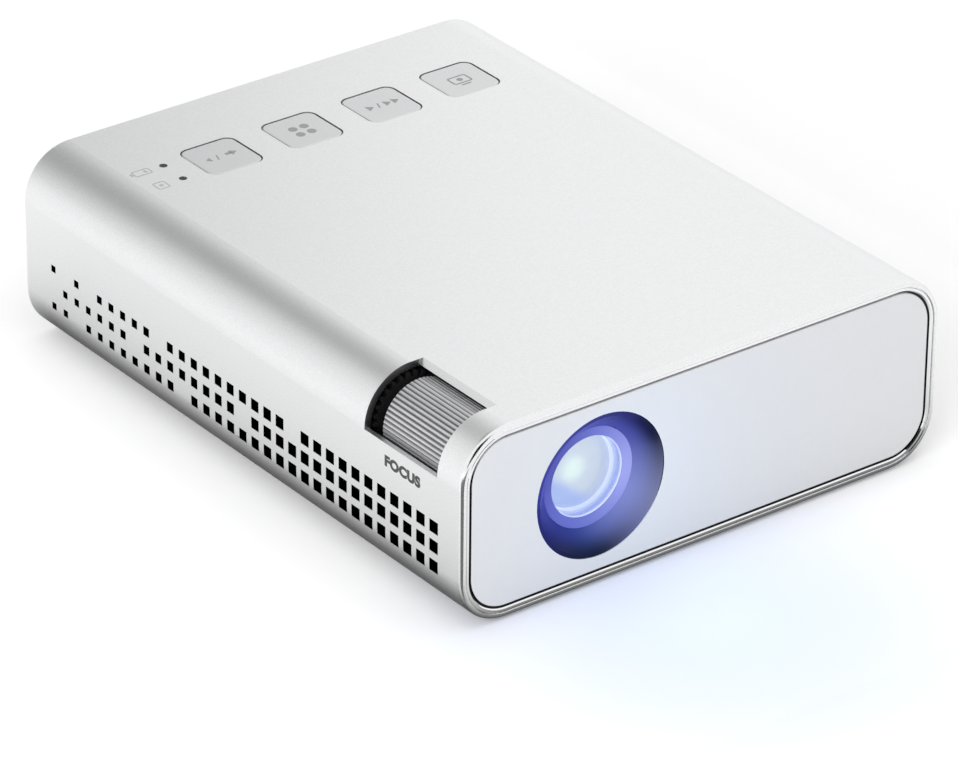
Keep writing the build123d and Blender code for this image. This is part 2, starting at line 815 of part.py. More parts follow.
def wheel_gear():
    body = along_y(gear_outline(wheel_teeth, axis_angle), wheel_x, wheel_z, gear_y0, gear_y1)
    body += rod_y(gear_hub_r, wheel_x, wheel_z, wheel_y1, gear_y0)
    return body - rod_y(shaft_r + seat_gap, wheel_x, wheel_z, wheel_y1 - 1, gear_y1 + 1)


def ear_ends():
    """Where the two bearing ears start along Y: before the wheel and behind its gear."""
    return wheel_y0 - free_gap - ear_thick, gear_y1 + free_gap


def wheel_shaft():
    front_ear, rear_ear = ear_ends()
    return rod_y(shaft_r, wheel_x, wheel_z, front_ear, rear_ear + ear_thick + free_gap)


def wheel_bracket():
    """Two bearing ears on one foot, screwed to the tray."""
    front_ear, rear_ear = ear_ends()
    x0 = wheel_x - ear_half
    x1 = wheel_x + ear_half
    body = block(x0, x1, front_ear, rear_ear + ear_thick, tray_top, tray_top + bracket_base)
    for y in (front_ear, rear_ear):
        body += block(x0, x1, y, y + ear_thick, tray_top, wheel_z)
        body += rod_y(ear_half, wheel_x, wheel_z, y, y + ear_thick)
    return body - rod_y(shaft_r + run_gap, wheel_x, wheel_z, front_ear - 1, rear_ear + ear_thick + 1)


def pin_angles():
    return [math.radians(90 + i * 360 / pin_count) for i in range(pin_count)]


def radial_pin(radius, r0, r1, angle):
    """A rod from r0 to r1 out of the lens axis, at the cam's place."""
    direction = (math.cos(angle), 0, math.sin(angle))
    origin = (lens_x + r0 * direction[0], cam_y, lens_z + r0 * direction[2])
    return extrude(Plane(origin=origin, x_dir=(0, 1, 0), z_dir=direction) * Circle(radius), amount=r1 - r0)


def focus_ring():
    """The toothed ring that turns on the barrel, with the cam groove for the lens cell's pins inside."""
    inner_r = barrel_r + run_gap
    outer_r = inner_r + ring_tube
    half_step = math.pi / ring_teeth
    teeth = gear_outline(ring_teeth, axis_angle + math.pi + half_step)
    body = rod_y(outer_r, lens_x, lens_z, cam_y - ring_lead, gear_y1)
    body += along_y(teeth, lens_x, lens_z, gear_y0, gear_y1)
    body -= rod_y(inner_r, lens_x, lens_z, cam_y - ring_lead - 1, gear_y1 + 1)
    half = pin_r + lens_travel + free_gap
    return body - rod_y(inner_r + pin_sink, lens_x, lens_z, cam_y - half, cam_y + half)


def lens_barrel():
    """The fixed tube that guides the lens cell, with a flange on the light engine."""
    body = rod_y(barrel_r, lens_x, lens_z, barrel_y0, engine_front)
    half = barrel_flange_half
    body += block(lens_x - half, lens_x + half, engine_front - barrel_flange, engine_front,
                  lens_z - half, lens_z + half)
    cuts = [rod_y(barrel_bore_r, lens_x, lens_z, barrel_y0 - 1, engine_front - rear_bore)]
    cuts.append(rod_y(rear_glass_r + seat_gap, lens_x, lens_z, barrel_y0, engine_front + 1))
    slot_half = pin_r + seat_gap
    for a in pin_angles():
        for shift in (-lens_travel - seat_gap, 0, lens_travel + seat_gap):
            cuts.append(Pos(0, shift, 0) * radial_pin(slot_half, cell_bore_r, barrel_r + 1, a))
    for x, z in flange_places():
        cuts.append(rod_y(small_r + seat_gap, x, z, engine_front - barrel_flange - 1, engine_front + 1))
        cuts.append(rod_y(small_head_r + seat_gap, x, z, engine_front - barrel_flange - 1,
                          engine_front - barrel_flange + small_head + seat_gap))
    return body - cuts


def flange_places():
    return [(lens_x + i * flange_screw, lens_z + k * flange_screw) for i in (-1, 1) for k in (-1, 1)]


def lens_cell():
    """The sliding tube that carries the front glass."""
    seat_end = cell_y0 + cell_lip + front_glass_edge
    body = rod_y(cell_r, lens_x, lens_z, cell_y0, cell_y1)
    cuts = [rod_y(front_glass_r + seat_gap, lens_x, lens_z, cell_y0 - 1, seat_end)]
    cuts.append(rod_y(cell_bore_r, lens_x, lens_z, cell_y0, cell_y1 + 1))
    cuts += [radial_pin(pin_r + seat_gap, pin_root_r, cell_r + 1, a) for a in pin_angles()]
    return body - cuts


def cam_pins():
    tip_r = barrel_r + run_gap + pin_sink - seat_gap
    return group([radial_pin(pin_r, pin_root_r, tip_r, a) for a in pin_angles()])


def front_lens():
    return glass_y(front_glass_r, lens_x, lens_z, cell_y0 + cell_lip, front_glass_edge, front_glass_bulge)


def rear_lens():
    y0 = engine_front - rear_glass_back - rear_glass_thick
    return glass_y(rear_glass_r, lens_x, lens_z, y0, rear_glass_thick, 0.0, glass_bulge)


# ---- light engine ----
def engine_shape(inset, z0, z1):
    """The L-shaped outline of the light engine, moved inwards by inset."""
    front = block(engine_left + inset, engine_right - inset,
                  engine_front + inset, engine_step_y - inset, z0, z1)
    rear = block(engine_step_x + inset, engine_right - inset,
                 engine_front + inset, engine_rear - inset, z0, z1)
    return front + rear


def lug_places():
    x = engine_left - lug_length / 2
    return [(x, side_lug_y), (light_axis_x, engine_rear + lug_length / 2)]


def optic_pads():
    """The floor pads that the optics stand on: centre, half sizes and top of each."""
    lens_low = lens_z - collimator_r
    mirror_low = lens_z - mirror_size[2] / 2
    board_y = chip_back() + chip_board[1] / 2
    side_x = collimator_x() + collimator_thick / 2
    green_y = green_lens_y() + collimator_thick / 2
    return [
        (lens_x, light_y, prism_size / 2, prism_size / 2, lens_z - prism_size / 2),
        (chip_board_x(), board_y, pad_half, chip_board[1] / 2, lens_z - chip_board_half()),
        (relay_x + relay_thick / 2, light_y, relay_thick / 2, pad_half, lens_z - relay_r),
        (light_axis_x, light_y, pad_half, pad_half, mirror_low),
        (light_axis_x, integrator_y(), pad_half, integrator_size[1] / 2, lens_z - integrator_size[2] / 2),
        (light_axis_x, red_y, pad_half, pad_half, mirror_low),
        (light_axis_x, blue_y, pad_half, pad_half, mirror_low),
        (side_x, red_y, collimator_thick / 2, pad_half, lens_low),
        (side_x, blue_y, collimator_thick / 2, pad_half, lens_low),
        (light_axis_x, green_y, pad_half, collimator_thick / 2, lens_low),
    ]


def chip_back():
    return prism_front + prism_size + chip_gap + chip_size[1]


def chip_board_x():
    return lens_x - (chip_board[0] - chip_size[0]) / 2 + pad_half / 2


def chip_board_half():
    return barrel_flange_half - chip_board_margin


def integrator_y():
    return (light_y + red_y) / 2


def collimator_x():
    return engine_right - engine_wall - free_gap - collimator_thick


def green_lens_y():
    return engine_rear - engine_wall - free_gap - collimator_thick


def light_engine_housing():
    """The sealed optical box: walls, floor pads, lamp windows and two lugs."""
    z1 = engine_top
    body = engine_shape(0, tray_top, z1) - engine_shape(engine_wall, tray_top + engine_wall, z1 + 1)
    for x, y, half_x, half_y, top in optic_pads():
        body += block(x - half_x, x + half_x, y - half_y, y + half_y, tray_top + engine_wall / 2, top)
    (side_x, side_y), (rear_x, rear_lug_y) = lug_places()
    body += block(engine_left - lug_length, engine_left + 1, side_y - lug_width / 2, side_y + lug_width / 2,
                  tray_top, tray_top + lug_thick)
    body += block(rear_x - lug_width / 2, rear_x + lug_width / 2, engine_rear - 1, engine_rear + lug_length,
                  tray_top, tray_top + lug_thick)
    window = led_emitter / 2 + free_gap
    z_low = lens_z - window
    z_high = lens_z + window
    cuts = [rod_y(rear_glass_r, lens_x, lens_z, engine_front - 1, engine_front + engine_wall + free_gap)]
    for y in (red_y, blue_y):
        cuts.append(block(engine_right - engine_wall - free_gap, engine_right + 1,
                          y - window, y + window, z_low, z_high))
    cuts.append(block(light_axis_x - window, light_axis_x + window, engine_rear - engine_wall - free_gap,
                      engine_rear + 1, z_low, z_high))
    cuts += [rod_z(small_r + seat_gap, x, y, tray_top - 1, tray_top + lug_thick + 1) for x, y in lug_places()]
    for x, z in flange_places():
        cuts.append(rod_y(small_r + seat_gap, x, z, engine_front - 1, engine_front + small_length))
    return body - cuts


def light_engine_cover():
    return engine_shape(0, engine_top, engine_top + engine_cover)


def led_modules():
    """Three lamps: a square base outside the wall and an emitter in its window."""
    half = led_base / 2
    emit = led_emitter / 2
    lamps = []
    for y in (red_y, blue_y):
        base = block(engine_right, engine_right + led_base_thick, y - half, y + half,
                     lens_z - half, lens_z + half)
        lamps.append(base + block(engine_right - led_emitter_thick, engine_right, y - emit, y + emit,
                                  lens_z - emit, lens_z + emit))
    x = light_axis_x
    base = block(x - half, x + half, engine_rear, engine_rear + led_base_thick, lens_z - half, lens_z + half)
    lamps.append(base + block(x - emit, x + emit, engine_rear - led_emitter_thick, engine_rear,
                              lens_z - emit, lens_z + emit))
    return group(lamps)


def collimator_lenses():
    glasses = [glass_x(collimator_r, y, lens_z, collimator_x(), collimator_thick - glass_bulge, glass_bulge)
               for y in (red_y, blue_y)]
    glasses.append(glass_y(collimator_r, light_axis_x, lens_z, green_lens_y() + glass_bulge,
                           collimator_thick - glass_bulge, glass_bulge))
    return group(glasses)


def fold_mirrors():
    """Two colour-splitting mirrors behind each other and the mirror that folds the light to the prism."""
    return group([Pos(light_axis_x, y, lens_z) * Rot(0, 0, mirror_turn_deg) * Box(*mirror_size)
                  for y in (light_y, red_y, blue_y)])


def integrator_lens():
    """A plate of small square lenses, as a grid of raised cushions."""
    width, thick, height = integrator_size
    y = integrator_y()
    body = block(light_axis_x - width / 2, light_axis_x + width / 2, y - thick / 4, y + thick / 2,
                 lens_z - height / 2, lens_z + height / 2)
    cells = 4
    pitch = width / (cells + 0.5)
    for i in range(cells):
        for k in range(cells):
            x = light_axis_x + (i - (cells - 1) / 2) * pitch
            z = lens_z + (k - (cells - 1) / 2) * pitch
            half = pitch * 0.4
            body += block(x - half, x + half, y - thick / 2, y - thick / 4, z - half, z + half)
    return body


def relay_lens():
    return glass_x(relay_r, light_y, lens_z, relay_x, relay_thick - glass_bulge, glass_bulge)


def prism():
    """Two wedges with a thin air gap between them, before the image chip."""
    half = prism_size / 2
    body = block(lens_x - half, lens_x + half, prism_front, prism_front + prism_size,
                 lens_z - half, lens_z + half)
    cut = Box(3 * prism_size, 2 * seat_gap, 3 * prism_size)
    slit = Pos(lens_x, light_y, lens_z) * Rot(0, 0, -mirror_turn_deg) * cut
    return group([body - slit])


def image_chip_board():
    """The small upright board with the image chip soldered to its front."""
    width, thick = chip_board
    half = chip_board_half()
    x = chip_board_x()
    y0 = chip_back()
    body = block(x - width / 2, x + width / 2, y0, y0 + thick, lens_z - half, lens_z + half)
    width, thick, height = chip_size
    return body + block(lens_x - width / 2, lens_x + width / 2, y0 - thick, y0,
                        lens_z - height / 2, lens_z + height / 2)


# ---- cooling ----
def heat_spreaders():
    """The block behind the two side lamps, notched for the heat pipe, and the smaller one at the rear."""
    x0 = engine_right + led_base_thick
    side = block(x0, x0 + spreader_thick, spreader_y - spreader_half_y, spreader_y + spreader_half_y,
                 lens_z - spreader_half_z, lens_z + spreader_half_z)
    notch = pipe_r + seat_gap
    side -= block(pipe_x - notch, pipe_x + 1, spreader_y - spreader_half_y - 1,
                  spreader_y + spreader_half_y + 1, pipe_z - notch, pipe_z + notch)
    y0 = engine_rear + led_base_thick
    rear = block(light_axis_x - rear_spreader_half, light_axis_x + rear_spreader_half, y0, y0 + rear_spreader,
                 lens_z - rear_spreader_half, lens_z + rear_spreader_half)
    return group([side, rear])


def heat_pipe():
    points = [(pipe_x, pipe_start_y, pipe_z), (pipe_x, pipe_row_y, pipe_z), (pipe_turn_x, pipe_row_y, pipe_z),
              (pipe_turn_x, fan_front + fin_end, pipe_z)]
    path = FilletPolyline(*points, radius=pipe_bend_r)
    return sweep(Plane(origin=points[0], z_dir=(0, -1, 0)) * Circle(pipe_r), path=path)


def heat_sink():
    """Upright fins on one base beside the fan's outlet, pressed onto the heat pipe."""
    y0 = fan_front + fin_end
    y1 = pipe_row_y - pipe_bend_r - free_gap
    x1 = fin_left + fin_width
    body = block(fin_left, x1, y0, y1, fin_base_z, fin_base_z + fin_base)
    body += block(fin_left, fin_left + fin_rail, y0, y1, tray_top, fin_base_z)
    pitch = (y1 - y0 - fin_thick) / (fin_count - 1)
    for i in range(fin_count):
        y = y0 + i * pitch
        body += block(fin_left, x1, y, y + fin_thick, fin_base_z, fan_top)
    return body - rod_y(pipe_r + seat_gap, pipe_turn_x, pipe_z, y0 - 1, y1 + 1)


def fan_screw_places():
    inset = fan_wall + small_r
    return [(fan_left + inset, fan_front + inset), (fan_left + inset, fan_rear - inset)]


def fan_housing():
    """The blower's case: floor, spiral wall open to the fins, and the bearing boss."""
    floor = tray_top + fan_wall
    top = fan_top - fan_cover_thick
    body = block(fan_left, fan_right, fan_front, fan_rear, tray_top, top)
    cavity_r = rotor_r + rotor_gap
    body -= rod_z(cavity_r, fan_x, fan_y, floor, top + 1)
    body -= block(fan_x, fan_right + 1, fan_y - cavity_r, fan_y + cavity_r, floor, top + 1)
    body += rod_z(fan_boss_r, fan_x, fan_y, floor, floor + fan_boss)
    body -= rod_z(fan_shaft_r + run_gap, fan_x, fan_y, floor, floor + fan_boss + 1)
    return body - [rod_z(small_r + seat_gap, x, y, tray_top - 1, top + 1) for x, y in fan_screw_places()]


def fan_cover():
    body = block(fan_left, fan_right, fan_front, fan_rear, fan_top - fan_cover_thick, fan_top)
    body -= rod_z(intake_r, fan_x, fan_y, tray_top, fan_top + 1)
    return body - [rod_z(small_r + seat_gap, x, y, tray_top, fan_top + 1) for x, y in fan_screw_places()]


def fan_rotor():
    """A cup hub on its shaft with slanted blades."""
    floor = tray_top + fan_wall
    z0 = floor + rotor_lift
    z1 = z0 + blade_height
    body = rod_z(hub_r, fan_x, fan_y, z0, z1) - rod_z(hub_r - hub_wall, fan_x, fan_y, z0 - 1, z1 - hub_wall)
    body += rod_z(fan_shaft_r, fan_x, fan_y, floor + seat_gap, z1)
    length = rotor_r - hub_r
    for i in range(rotor_blades):
        blade = Pos(hub_r - hub_wall / 2, 0, (z0 + z1) / 2) * Rot(0, 0, blade_turn_deg)
        blade = blade * Pos(length / 2, 0, 0) * Box(length, blade_thick, blade_height)
        body += Pos(fan_x, fan_y, 0) * Rot(0, 0, 360 * i / rotor_blades) * blade
    return body


# ---- speaker ----
def speaker_frame():
    """The front plate with its basket, on a ledge and a foot beside the wall."""
    low, high = speaker_z
    plate_x = speaker_face - speaker_plate
    y0 = speaker_y - speaker_half_y
    y1 = speaker_y + speaker_half_y
    body = block(plate_x, speaker_face, y0, y1, low, high)
    body += block(ledge_left, plate_x + 1, y0, y1, low, low + ledge_thick)
    body += block(ledge_left, tray_half_x, y0, y1, tray_top, low)
    back = plate_x - speaker_depth
    body += rod_x(speaker_r + basket_wall, speaker_y, speaker_mid_z, back, plate_x + 1)
    body -= rod_x(speaker_r, speaker_y, speaker_mid_z, back + basket_wall, speaker_face + 1)
    return body


def speaker_cone():
    """A shallow paper cone with a flat middle, glued inside the plate's rim."""
    rim_r = speaker_r - seat_gap
    x1 = speaker_face - speaker_plate / 2
    x0 = x1 - cone_depth
    points = [(rim_r, x1), (cone_neck_r, x0), (0, x0), (0, x0 - cone_thick), (cone_neck_r, x0 - cone_thick),
              (rim_r, x1 - cone_thick)]
    cone = revolve(make_face(Polyline(*points, close=True)), Axis.Y, 360)
    return Plane(origin=(0, speaker_y, speaker_mid_z), x_dir=(0, -1, 0), z_dir=(0, 0, 1)) * cone


def speaker_magnet():
    back = speaker_face - speaker_plate - speaker_depth
    return rod_x(magnet_r, speaker_y, speaker_mid_z, back - magnet_length, back)


# ---- battery and boards ----
def battery_holder():
    """A shallow box over the case screws, on two bosses and two legs, with a rib between the cells."""
    x = battery_half_x
    body = block(-x, x, battery_front, battery_rear, battery_z, battery_z + holder_rim)
    inner = x - holder_wall
    mid = holder_wall / 2
    for x0, x1 in ((-inner, -mid), (mid, inner)):
        body -= block(x0, x1, battery_front + holder_wall, battery_rear - holder_wall,
                      battery_z + holder_wall, battery_z + holder_rim + 1)
    for side in (-1, 1):
        body += rod_z(holder_leg_r, side * (battery_half_x - holder_leg_in[0]),
                      battery_front + holder_leg_in[1], tray_top, battery_z + 1)
    return body


def battery_cells():
    mid = holder_wall / 2 + free_gap
    end = battery_half_x - holder_wall - free_gap
    gap = holder_wall + free_gap
    z0 = battery_z + holder_wall
    cells = []
    for x0, x1 in ((-end, -mid), (mid, end)):
        cell = block(x0, x1, battery_front + gap, battery_rear - gap, z0, z0 + battery_height)
        cells.append(fillet(cell.edges().filter_by(Axis.Y), battery_edge_r))
    return group(cells)


def main_board():
    body = block(-board_half_x, board_half_x, board_front, board_rear, board_z, board_top)
    return body - [rod_z(small_r + seat_gap, x, y, board_z - 1, board_top + 1) for x, y in post_places]


def driver_posts():
    dx = driver_half_x - driver_post_in
    dy = driver_half_y - driver_post_in
    return [(driver_x + i * dx, driver_y + k * dy) for i in (-1, 1) for k in (-1, 1)]


def driver_board():
    body = block(driver_x - driver_half_x, driver_x + driver_half_x, driver_y - driver_half_y,
                 driver_y + driver_half_y, driver_z, driver_z + board_thick)
    return body - [rod_z(small_r + seat_gap, x, y, driver_z - 1, board_top) for x, y in driver_posts()]


def board_parts():
    """Processor, memory, coils and capacitors on the main board, and the lamp driver's coils."""
    def chip(x, y, size, z):
        width, length, height = size
        return block(x - width / 2, x + width / 2, y - length / 2, y + length / 2, z, z + height)

    parts = [chip(processor_x, post_y[0] + parts_in, processor_size, board_top)]
    parts += [chip(memory_x, post_y[0] + i * memory_pitch, memory_size, board_top) for i in range(2)]
    parts += [chip(coils_x + i * coil_pitch, post_y[0], coil_size, board_top) for i in range(3)]
    parts += [rod_z(can_r, cans_x + i * can_pitch, post_y[0], board_top, board_top + can_height)
              for i in range(3)]
    parts += [chip(driver_x + (i - 1) * coil_pitch, driver_y, coil_size, driver_z + board_thick)
              for i in range(3)]
    return group(parts)


# ---- rear panel and ports ----
def socket_box(size, x, back):
    """The body of a socket on the main board, with its mouth at back."""
    width, length, height = size
    return block(x - width / 2, x + width / 2, back - length, back, board_top, board_top + height)


def hdmi_outline(inset):
    """The socket's section with its two lower corners cut off."""
    width, length, height = hdmi_size
    half = width / 2 - inset
    cut = height / 3
    points = [(-half, height - inset), (half, height - inset), (half, cut + inset / 2), (half - cut, inset),
              (cut - half, inset), (-half, cut + inset / 2)]
    return make_face(Polyline(*points, close=True))


def hdmi_socket():
    length = hdmi_size[1]
    tongue_w, tongue_l, tongue_h = hdmi_tongue
    mid = board_top + hdmi_size[2] / 2
    back = mouth_y - length
    body = along_y(hdmi_outline(0), hdmi_x, board_top, back, mouth_y)
    body -= along_y(hdmi_outline(hdmi_shell), hdmi_x, board_top, back + socket_back, mouth_y + 1)
    return body + block(hdmi_x - tongue_w / 2, hdmi_x + tongue_w / 2, back + 1, back + socket_back + tongue_l,
                        mid - tongue_h / 2, mid + tongue_h / 2)


def usb_socket():
    width, length, height = usb_size
    tongue_w, tongue_l, tongue_h = usb_tongue
    back = mouth_y - length
    s = usb_shell
    body = socket_box(usb_size, usb_x, mouth_y)
    body -= block(usb_x - width / 2 + s, usb_x + width / 2 - s, back + socket_back, mouth_y + 1,
                  board_top + s, board_top + height - s)
    top = board_top + height - 2 * s
    return body + block(usb_x - tongue_w / 2, usb_x + tongue_w / 2, back + 1, back + socket_back + tongue_l,
                        top - tongue_h, top)


def audio_socket():
    width, length, height = jack_size
    mid = board_top + height / 2
    body = socket_box(jack_size, jack_x, rear_inside - free_gap)
    body += rod_y(height / 2, jack_x, mid, rear_inside - 1, mouth_y)
    return body - rod_y(jack_bore_r, jack_x, mid, mouth_y - jack_bore_depth, mouth_y + 1)


def power_inlet():
    mid = board_top + inlet_size[2] / 2
    body = socket_box(inlet_size, inlet_x, mouth_y)
    body -= rod_y(inlet_bore_r, inlet_x, mid, mouth_y - inlet_bore_depth, mouth_y + 1)
    return body + rod_y(inlet_pin_r, inlet_x, mid, mouth_y - inlet_bore_depth - 1, mouth_y - 1)


def slider_mid():
    """Where the power slider's knob starts, at the left end of its travel, and its height."""
    return switch_x - slider_travel / 2, board_top + switch_body[2] / 2


def power_switch():
    x, z = slider_mid()
    back = rear_inside - free_gap
    half_x = (slider_size[0] + slider_travel) / 2 + free_gap
    half_z = slider_size[1] / 2 + free_gap
    slot = block(switch_x - half_x, switch_x + half_x, back - slider_sunk, back + 1, z - half_z, z + half_z)
    return socket_box(switch_body, switch_x, back) - slot


def power_slider():
    width, height = slider_size
    x, z = slider_mid()
    knob = block(x - width / 2, x + width / 2, rear_inside - slider_sunk, rear_face,
                 z - height / 2, z + height / 2)
    return chamfer(edges_at_y(knob, rear_face), ring_edge)


def rear_panel():
    """The plate with the sockets' openings, held by four screws in the sleeve's bosses."""
    body = case_solid(panel_outline, rear_inside, rear_face)
    y0 = rear_inside - 1
    y1 = rear_face + 1
    cuts = []
    for (width, length, height), x in ((hdmi_size, hdmi_x), (usb_size, usb_x), (inlet_size, inlet_x)):
        cuts.append(block(x - width / 2 - port_gap, x + width / 2 + port_gap, y0, y1,
                          board_top - port_gap, board_top + height + port_gap))
    cuts.append(rod_y(jack_size[2] / 2 + port_gap, jack_x, board_top + jack_size[2] / 2, y0, y1))
    x, z = slider_mid()
    half_x = (slider_size[0] + slider_travel) / 2 + port_gap
    half_z = slider_size[1] / 2 + port_gap
    cuts.append(block(switch_x - half_x, switch_x + half_x, y0, y1, z - half_z, z + half_z))
    for x, z in boss_places:
        cuts.append(rod_y(screw_r + 2 * seat_gap, x, z, y0, y1))
        cuts.append(rod_y(screw_head_r + 2 * seat_gap, x, z, rear_face - screw_head, y1))
    return body - cuts


def internal_screws():
    """The small screws: front tabs, both boards, barrel flange, key board, light engine and fan."""
    down = small_length - 1
    screws = [screw_z(x, tab_screw_y, tray_top + tab_thick, down) for x in tab_x]
    screws += [screw_z(x, y, board_top, small_length) for x, y in post_places]
    screws += [screw_z(x, y, driver_z + board_thick, small_length) for x, y in driver_posts()]
    seat = engine_front - barrel_flange + small_head
    screws += [screw_y(x, z, seat, small_length) for x, z in flange_places()]
    screws += [screw_z(x, key_y, key_board_top - key_board_thick, small_length, up=-1) for x in key_gaps]
    screws += [screw_z(x, y, tray_top + lug_thick, small_length) for x, y in lug_places()]
    screws += [screw_z(x, y, fan_top, fan_height + tray_thick) for x, y in fan_screw_places()]
    return group(screws)


makers = [
    outer_sleeve, front_ring, front_gasket, front_panel, front_frame, lens_hood, vent_screens, rubber_feet,
    case_screws, chassis_tray, tripod_insert, key_frame, key_board, key_board_parts, indicator_lenses,
    focus_wheel, wheel_gear, wheel_shaft, wheel_bracket, focus_ring, lens_barrel, lens_cell, cam_pins,
    front_lens, rear_lens, light_engine_housing, light_engine_cover, led_modules, collimator_lenses,
    fold_mirrors, integrator_lens, relay_lens, prism, image_chip_board, heat_spreaders, heat_pipe,
    heat_sink, fan_housing, fan_cover, fan_rotor, speaker_frame, speaker_cone, speaker_magnet, battery_holder,
    battery_cells, main_board, driver_board, board_parts, hdmi_socket, usb_socket, audio_socket, power_inlet,
    power_switch, power_slider, rear_panel, internal_screws,
]

os.makedirs("parts", exist_ok=True)
parts = {make.__name__: make() for make in makers}
for key_name, key_x in zip(key_names, key_xs):
    parts[key_name] = key_cap(key_x)
for node, shape in parts.items():
    export_step(Pos(0, 0, foot_proud) * shape, os.path.join("parts", node + ".step"))
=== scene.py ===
import json
import math
import bpy
import bmesh
from mathutils import Matrix, Vector


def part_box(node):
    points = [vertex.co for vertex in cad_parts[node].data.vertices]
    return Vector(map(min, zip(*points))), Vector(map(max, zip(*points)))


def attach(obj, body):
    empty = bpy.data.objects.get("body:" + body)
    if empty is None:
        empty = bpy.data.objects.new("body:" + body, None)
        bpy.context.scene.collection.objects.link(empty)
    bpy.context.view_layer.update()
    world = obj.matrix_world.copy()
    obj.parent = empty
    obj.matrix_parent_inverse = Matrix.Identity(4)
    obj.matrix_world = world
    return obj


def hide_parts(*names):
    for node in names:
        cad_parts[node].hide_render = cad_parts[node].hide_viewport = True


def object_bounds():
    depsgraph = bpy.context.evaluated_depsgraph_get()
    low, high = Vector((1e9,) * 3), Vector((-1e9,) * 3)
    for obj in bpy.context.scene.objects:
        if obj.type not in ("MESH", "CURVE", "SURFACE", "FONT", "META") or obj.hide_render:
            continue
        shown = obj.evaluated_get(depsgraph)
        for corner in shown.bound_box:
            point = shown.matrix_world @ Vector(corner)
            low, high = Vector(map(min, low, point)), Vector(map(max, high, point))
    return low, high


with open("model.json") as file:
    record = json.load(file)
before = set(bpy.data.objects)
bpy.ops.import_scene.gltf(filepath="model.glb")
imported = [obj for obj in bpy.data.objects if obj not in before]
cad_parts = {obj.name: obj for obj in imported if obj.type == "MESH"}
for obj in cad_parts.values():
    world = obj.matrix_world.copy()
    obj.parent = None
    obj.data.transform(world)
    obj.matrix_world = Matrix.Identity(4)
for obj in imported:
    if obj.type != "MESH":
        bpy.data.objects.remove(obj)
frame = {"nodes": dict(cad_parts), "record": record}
cadBox = [list(corner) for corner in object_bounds()]
nodes = frame["nodes"]
mm = 0.001
print("frame loaded:", len(nodes), "nodes")

# the camera comes first, at the photograph's angle
photoCamera = {
    "azimuth": -37.3331,
    "elevation": 28.8803,
    "roll": 0.5608,
    "distance": 1275.405,
    "aimRight": 1.01584,
    "aimUp": 0.23270,
    "footHeight": 0.6,
    "focalPixels": 6028.794,
    "imageWidth": 958,
    "shiftX": 0.0020,
    "shiftY": -0.0005,
    "filmWidth": 36.0,
    "clipStart": 0.01,
    "clipEnd": 30,
}


def addCamera(cam):
    azimuth, elevation, roll = (math.radians(cam[key]) for key in ("azimuth", "elevation", "roll"))
    level = math.cos(elevation)
    back = Vector((math.sin(azimuth) * level, -math.cos(azimuth) * level, math.sin(elevation)))
    flatRight = Vector((math.cos(azimuth), math.sin(azimuth), 0))
    flatUp = back.cross(flatRight)
    right = math.cos(roll) * flatRight + math.sin(roll) * flatUp
    up = math.cos(roll) * flatUp - math.sin(roll) * flatRight
    place = (cam["aimRight"] * right + cam["aimUp"] * up + cam["distance"] * back) * mm
    place.z += cam["footHeight"] * mm
    bpy.ops.object.camera_add(location=place)
    camera = bpy.context.object
    camera.name = "photoCamera"
    camera.rotation_euler = Matrix((right, up, back)).transposed().to_euler()
    camera.data.sensor_width = cam["filmWidth"]
    camera.data.lens = cam["focalPixels"] / cam["imageWidth"] * cam["filmWidth"]
    camera.data.shift_x = cam["shiftX"]
    camera.data.shift_y = cam["shiftY"]
    camera.data.clip_start = cam["clipStart"]
    camera.data.clip_end = cam["clipEnd"]
    bpy.context.scene.camera = camera


addCamera(photoCamera)
print("camera placed")


# materials
def newMaterial(name):
    material = bpy.data.materials.new(name)
    material.use_nodes = True
    tree = material.node_tree
    return material, tree, tree.nodes["Principled BSDF"]


def feed(tree, value, socket):
    # a link where the value comes from another node, or else the plain value
    if isinstance(value, bpy.types.NodeSocket):
        tree.links.new(value, socket)
    else:
        socket.default_value = value


def addMath(tree, operation, *values):
    node = tree.nodes.new("ShaderNodeMath")
    node.operation = operation
    for value, socket in zip(values, node.inputs):
        feed(tree, value, socket)
    return node.outputs[0]


def addVectorMath(tree, operation, *values):
    node = tree.nodes.new("ShaderNodeVectorMath")
    node.operation = operation
    for value, socket in zip(values, node.inputs):
        feed(tree, value, socket)
    return node.outputs["Value" if operation in ("LENGTH", "DISTANCE", "DOT_PRODUCT") else "Vector"]


def mapRange(tree, value, start, end, low=0.0, high=1.0, smooth="LINEAR"):
    node = tree.nodes.new("ShaderNodeMapRange")
    node.interpolation_type = smooth
    limits = {"From Min": start, "From Max": end, "To Min": low, "To Max": high}
    for name, limit in limits.items():
        node.inputs[name].default_value = limit
    tree.links.new(value, node.inputs["Value"])
    return node.outputs["Result"]


def mixColour(tree, share, first, second):
    node = tree.nodes.new("ShaderNodeMix")
    node.data_type = "RGBA"
    feed(tree, share, node.inputs["Factor"])
    feed(tree, first, node.inputs[6])
    feed(tree, second, node.inputs[7])
    return node.outputs[2]


def objectPlace(tree):
    return tree.nodes.new("ShaderNodeTexCoord").outputs["Object"]


def splitAxes(tree, vector):
    node = tree.nodes.new("ShaderNodeSeparateXYZ")
    tree.links.new(vector, node.inputs[0])
    return node.outputs["X"], node.outputs["Y"], node.outputs["Z"]


def objectNoise(tree, scale, detail=3.0, stretch=(1, 1, 1)):
    mapping = tree.nodes.new("ShaderNodeMapping")
    mapping.inputs["Scale"].default_value = stretch
    noise = tree.nodes.new("ShaderNodeTexNoise")
    noise.inputs["Scale"].default_value = scale
    noise.inputs["Detail"].default_value = detail
    tree.links.new(objectPlace(tree), mapping.inputs["Vector"])
    tree.links.new(mapping.outputs["Vector"], noise.inputs["Vector"])
    return noise.outputs["Fac"]


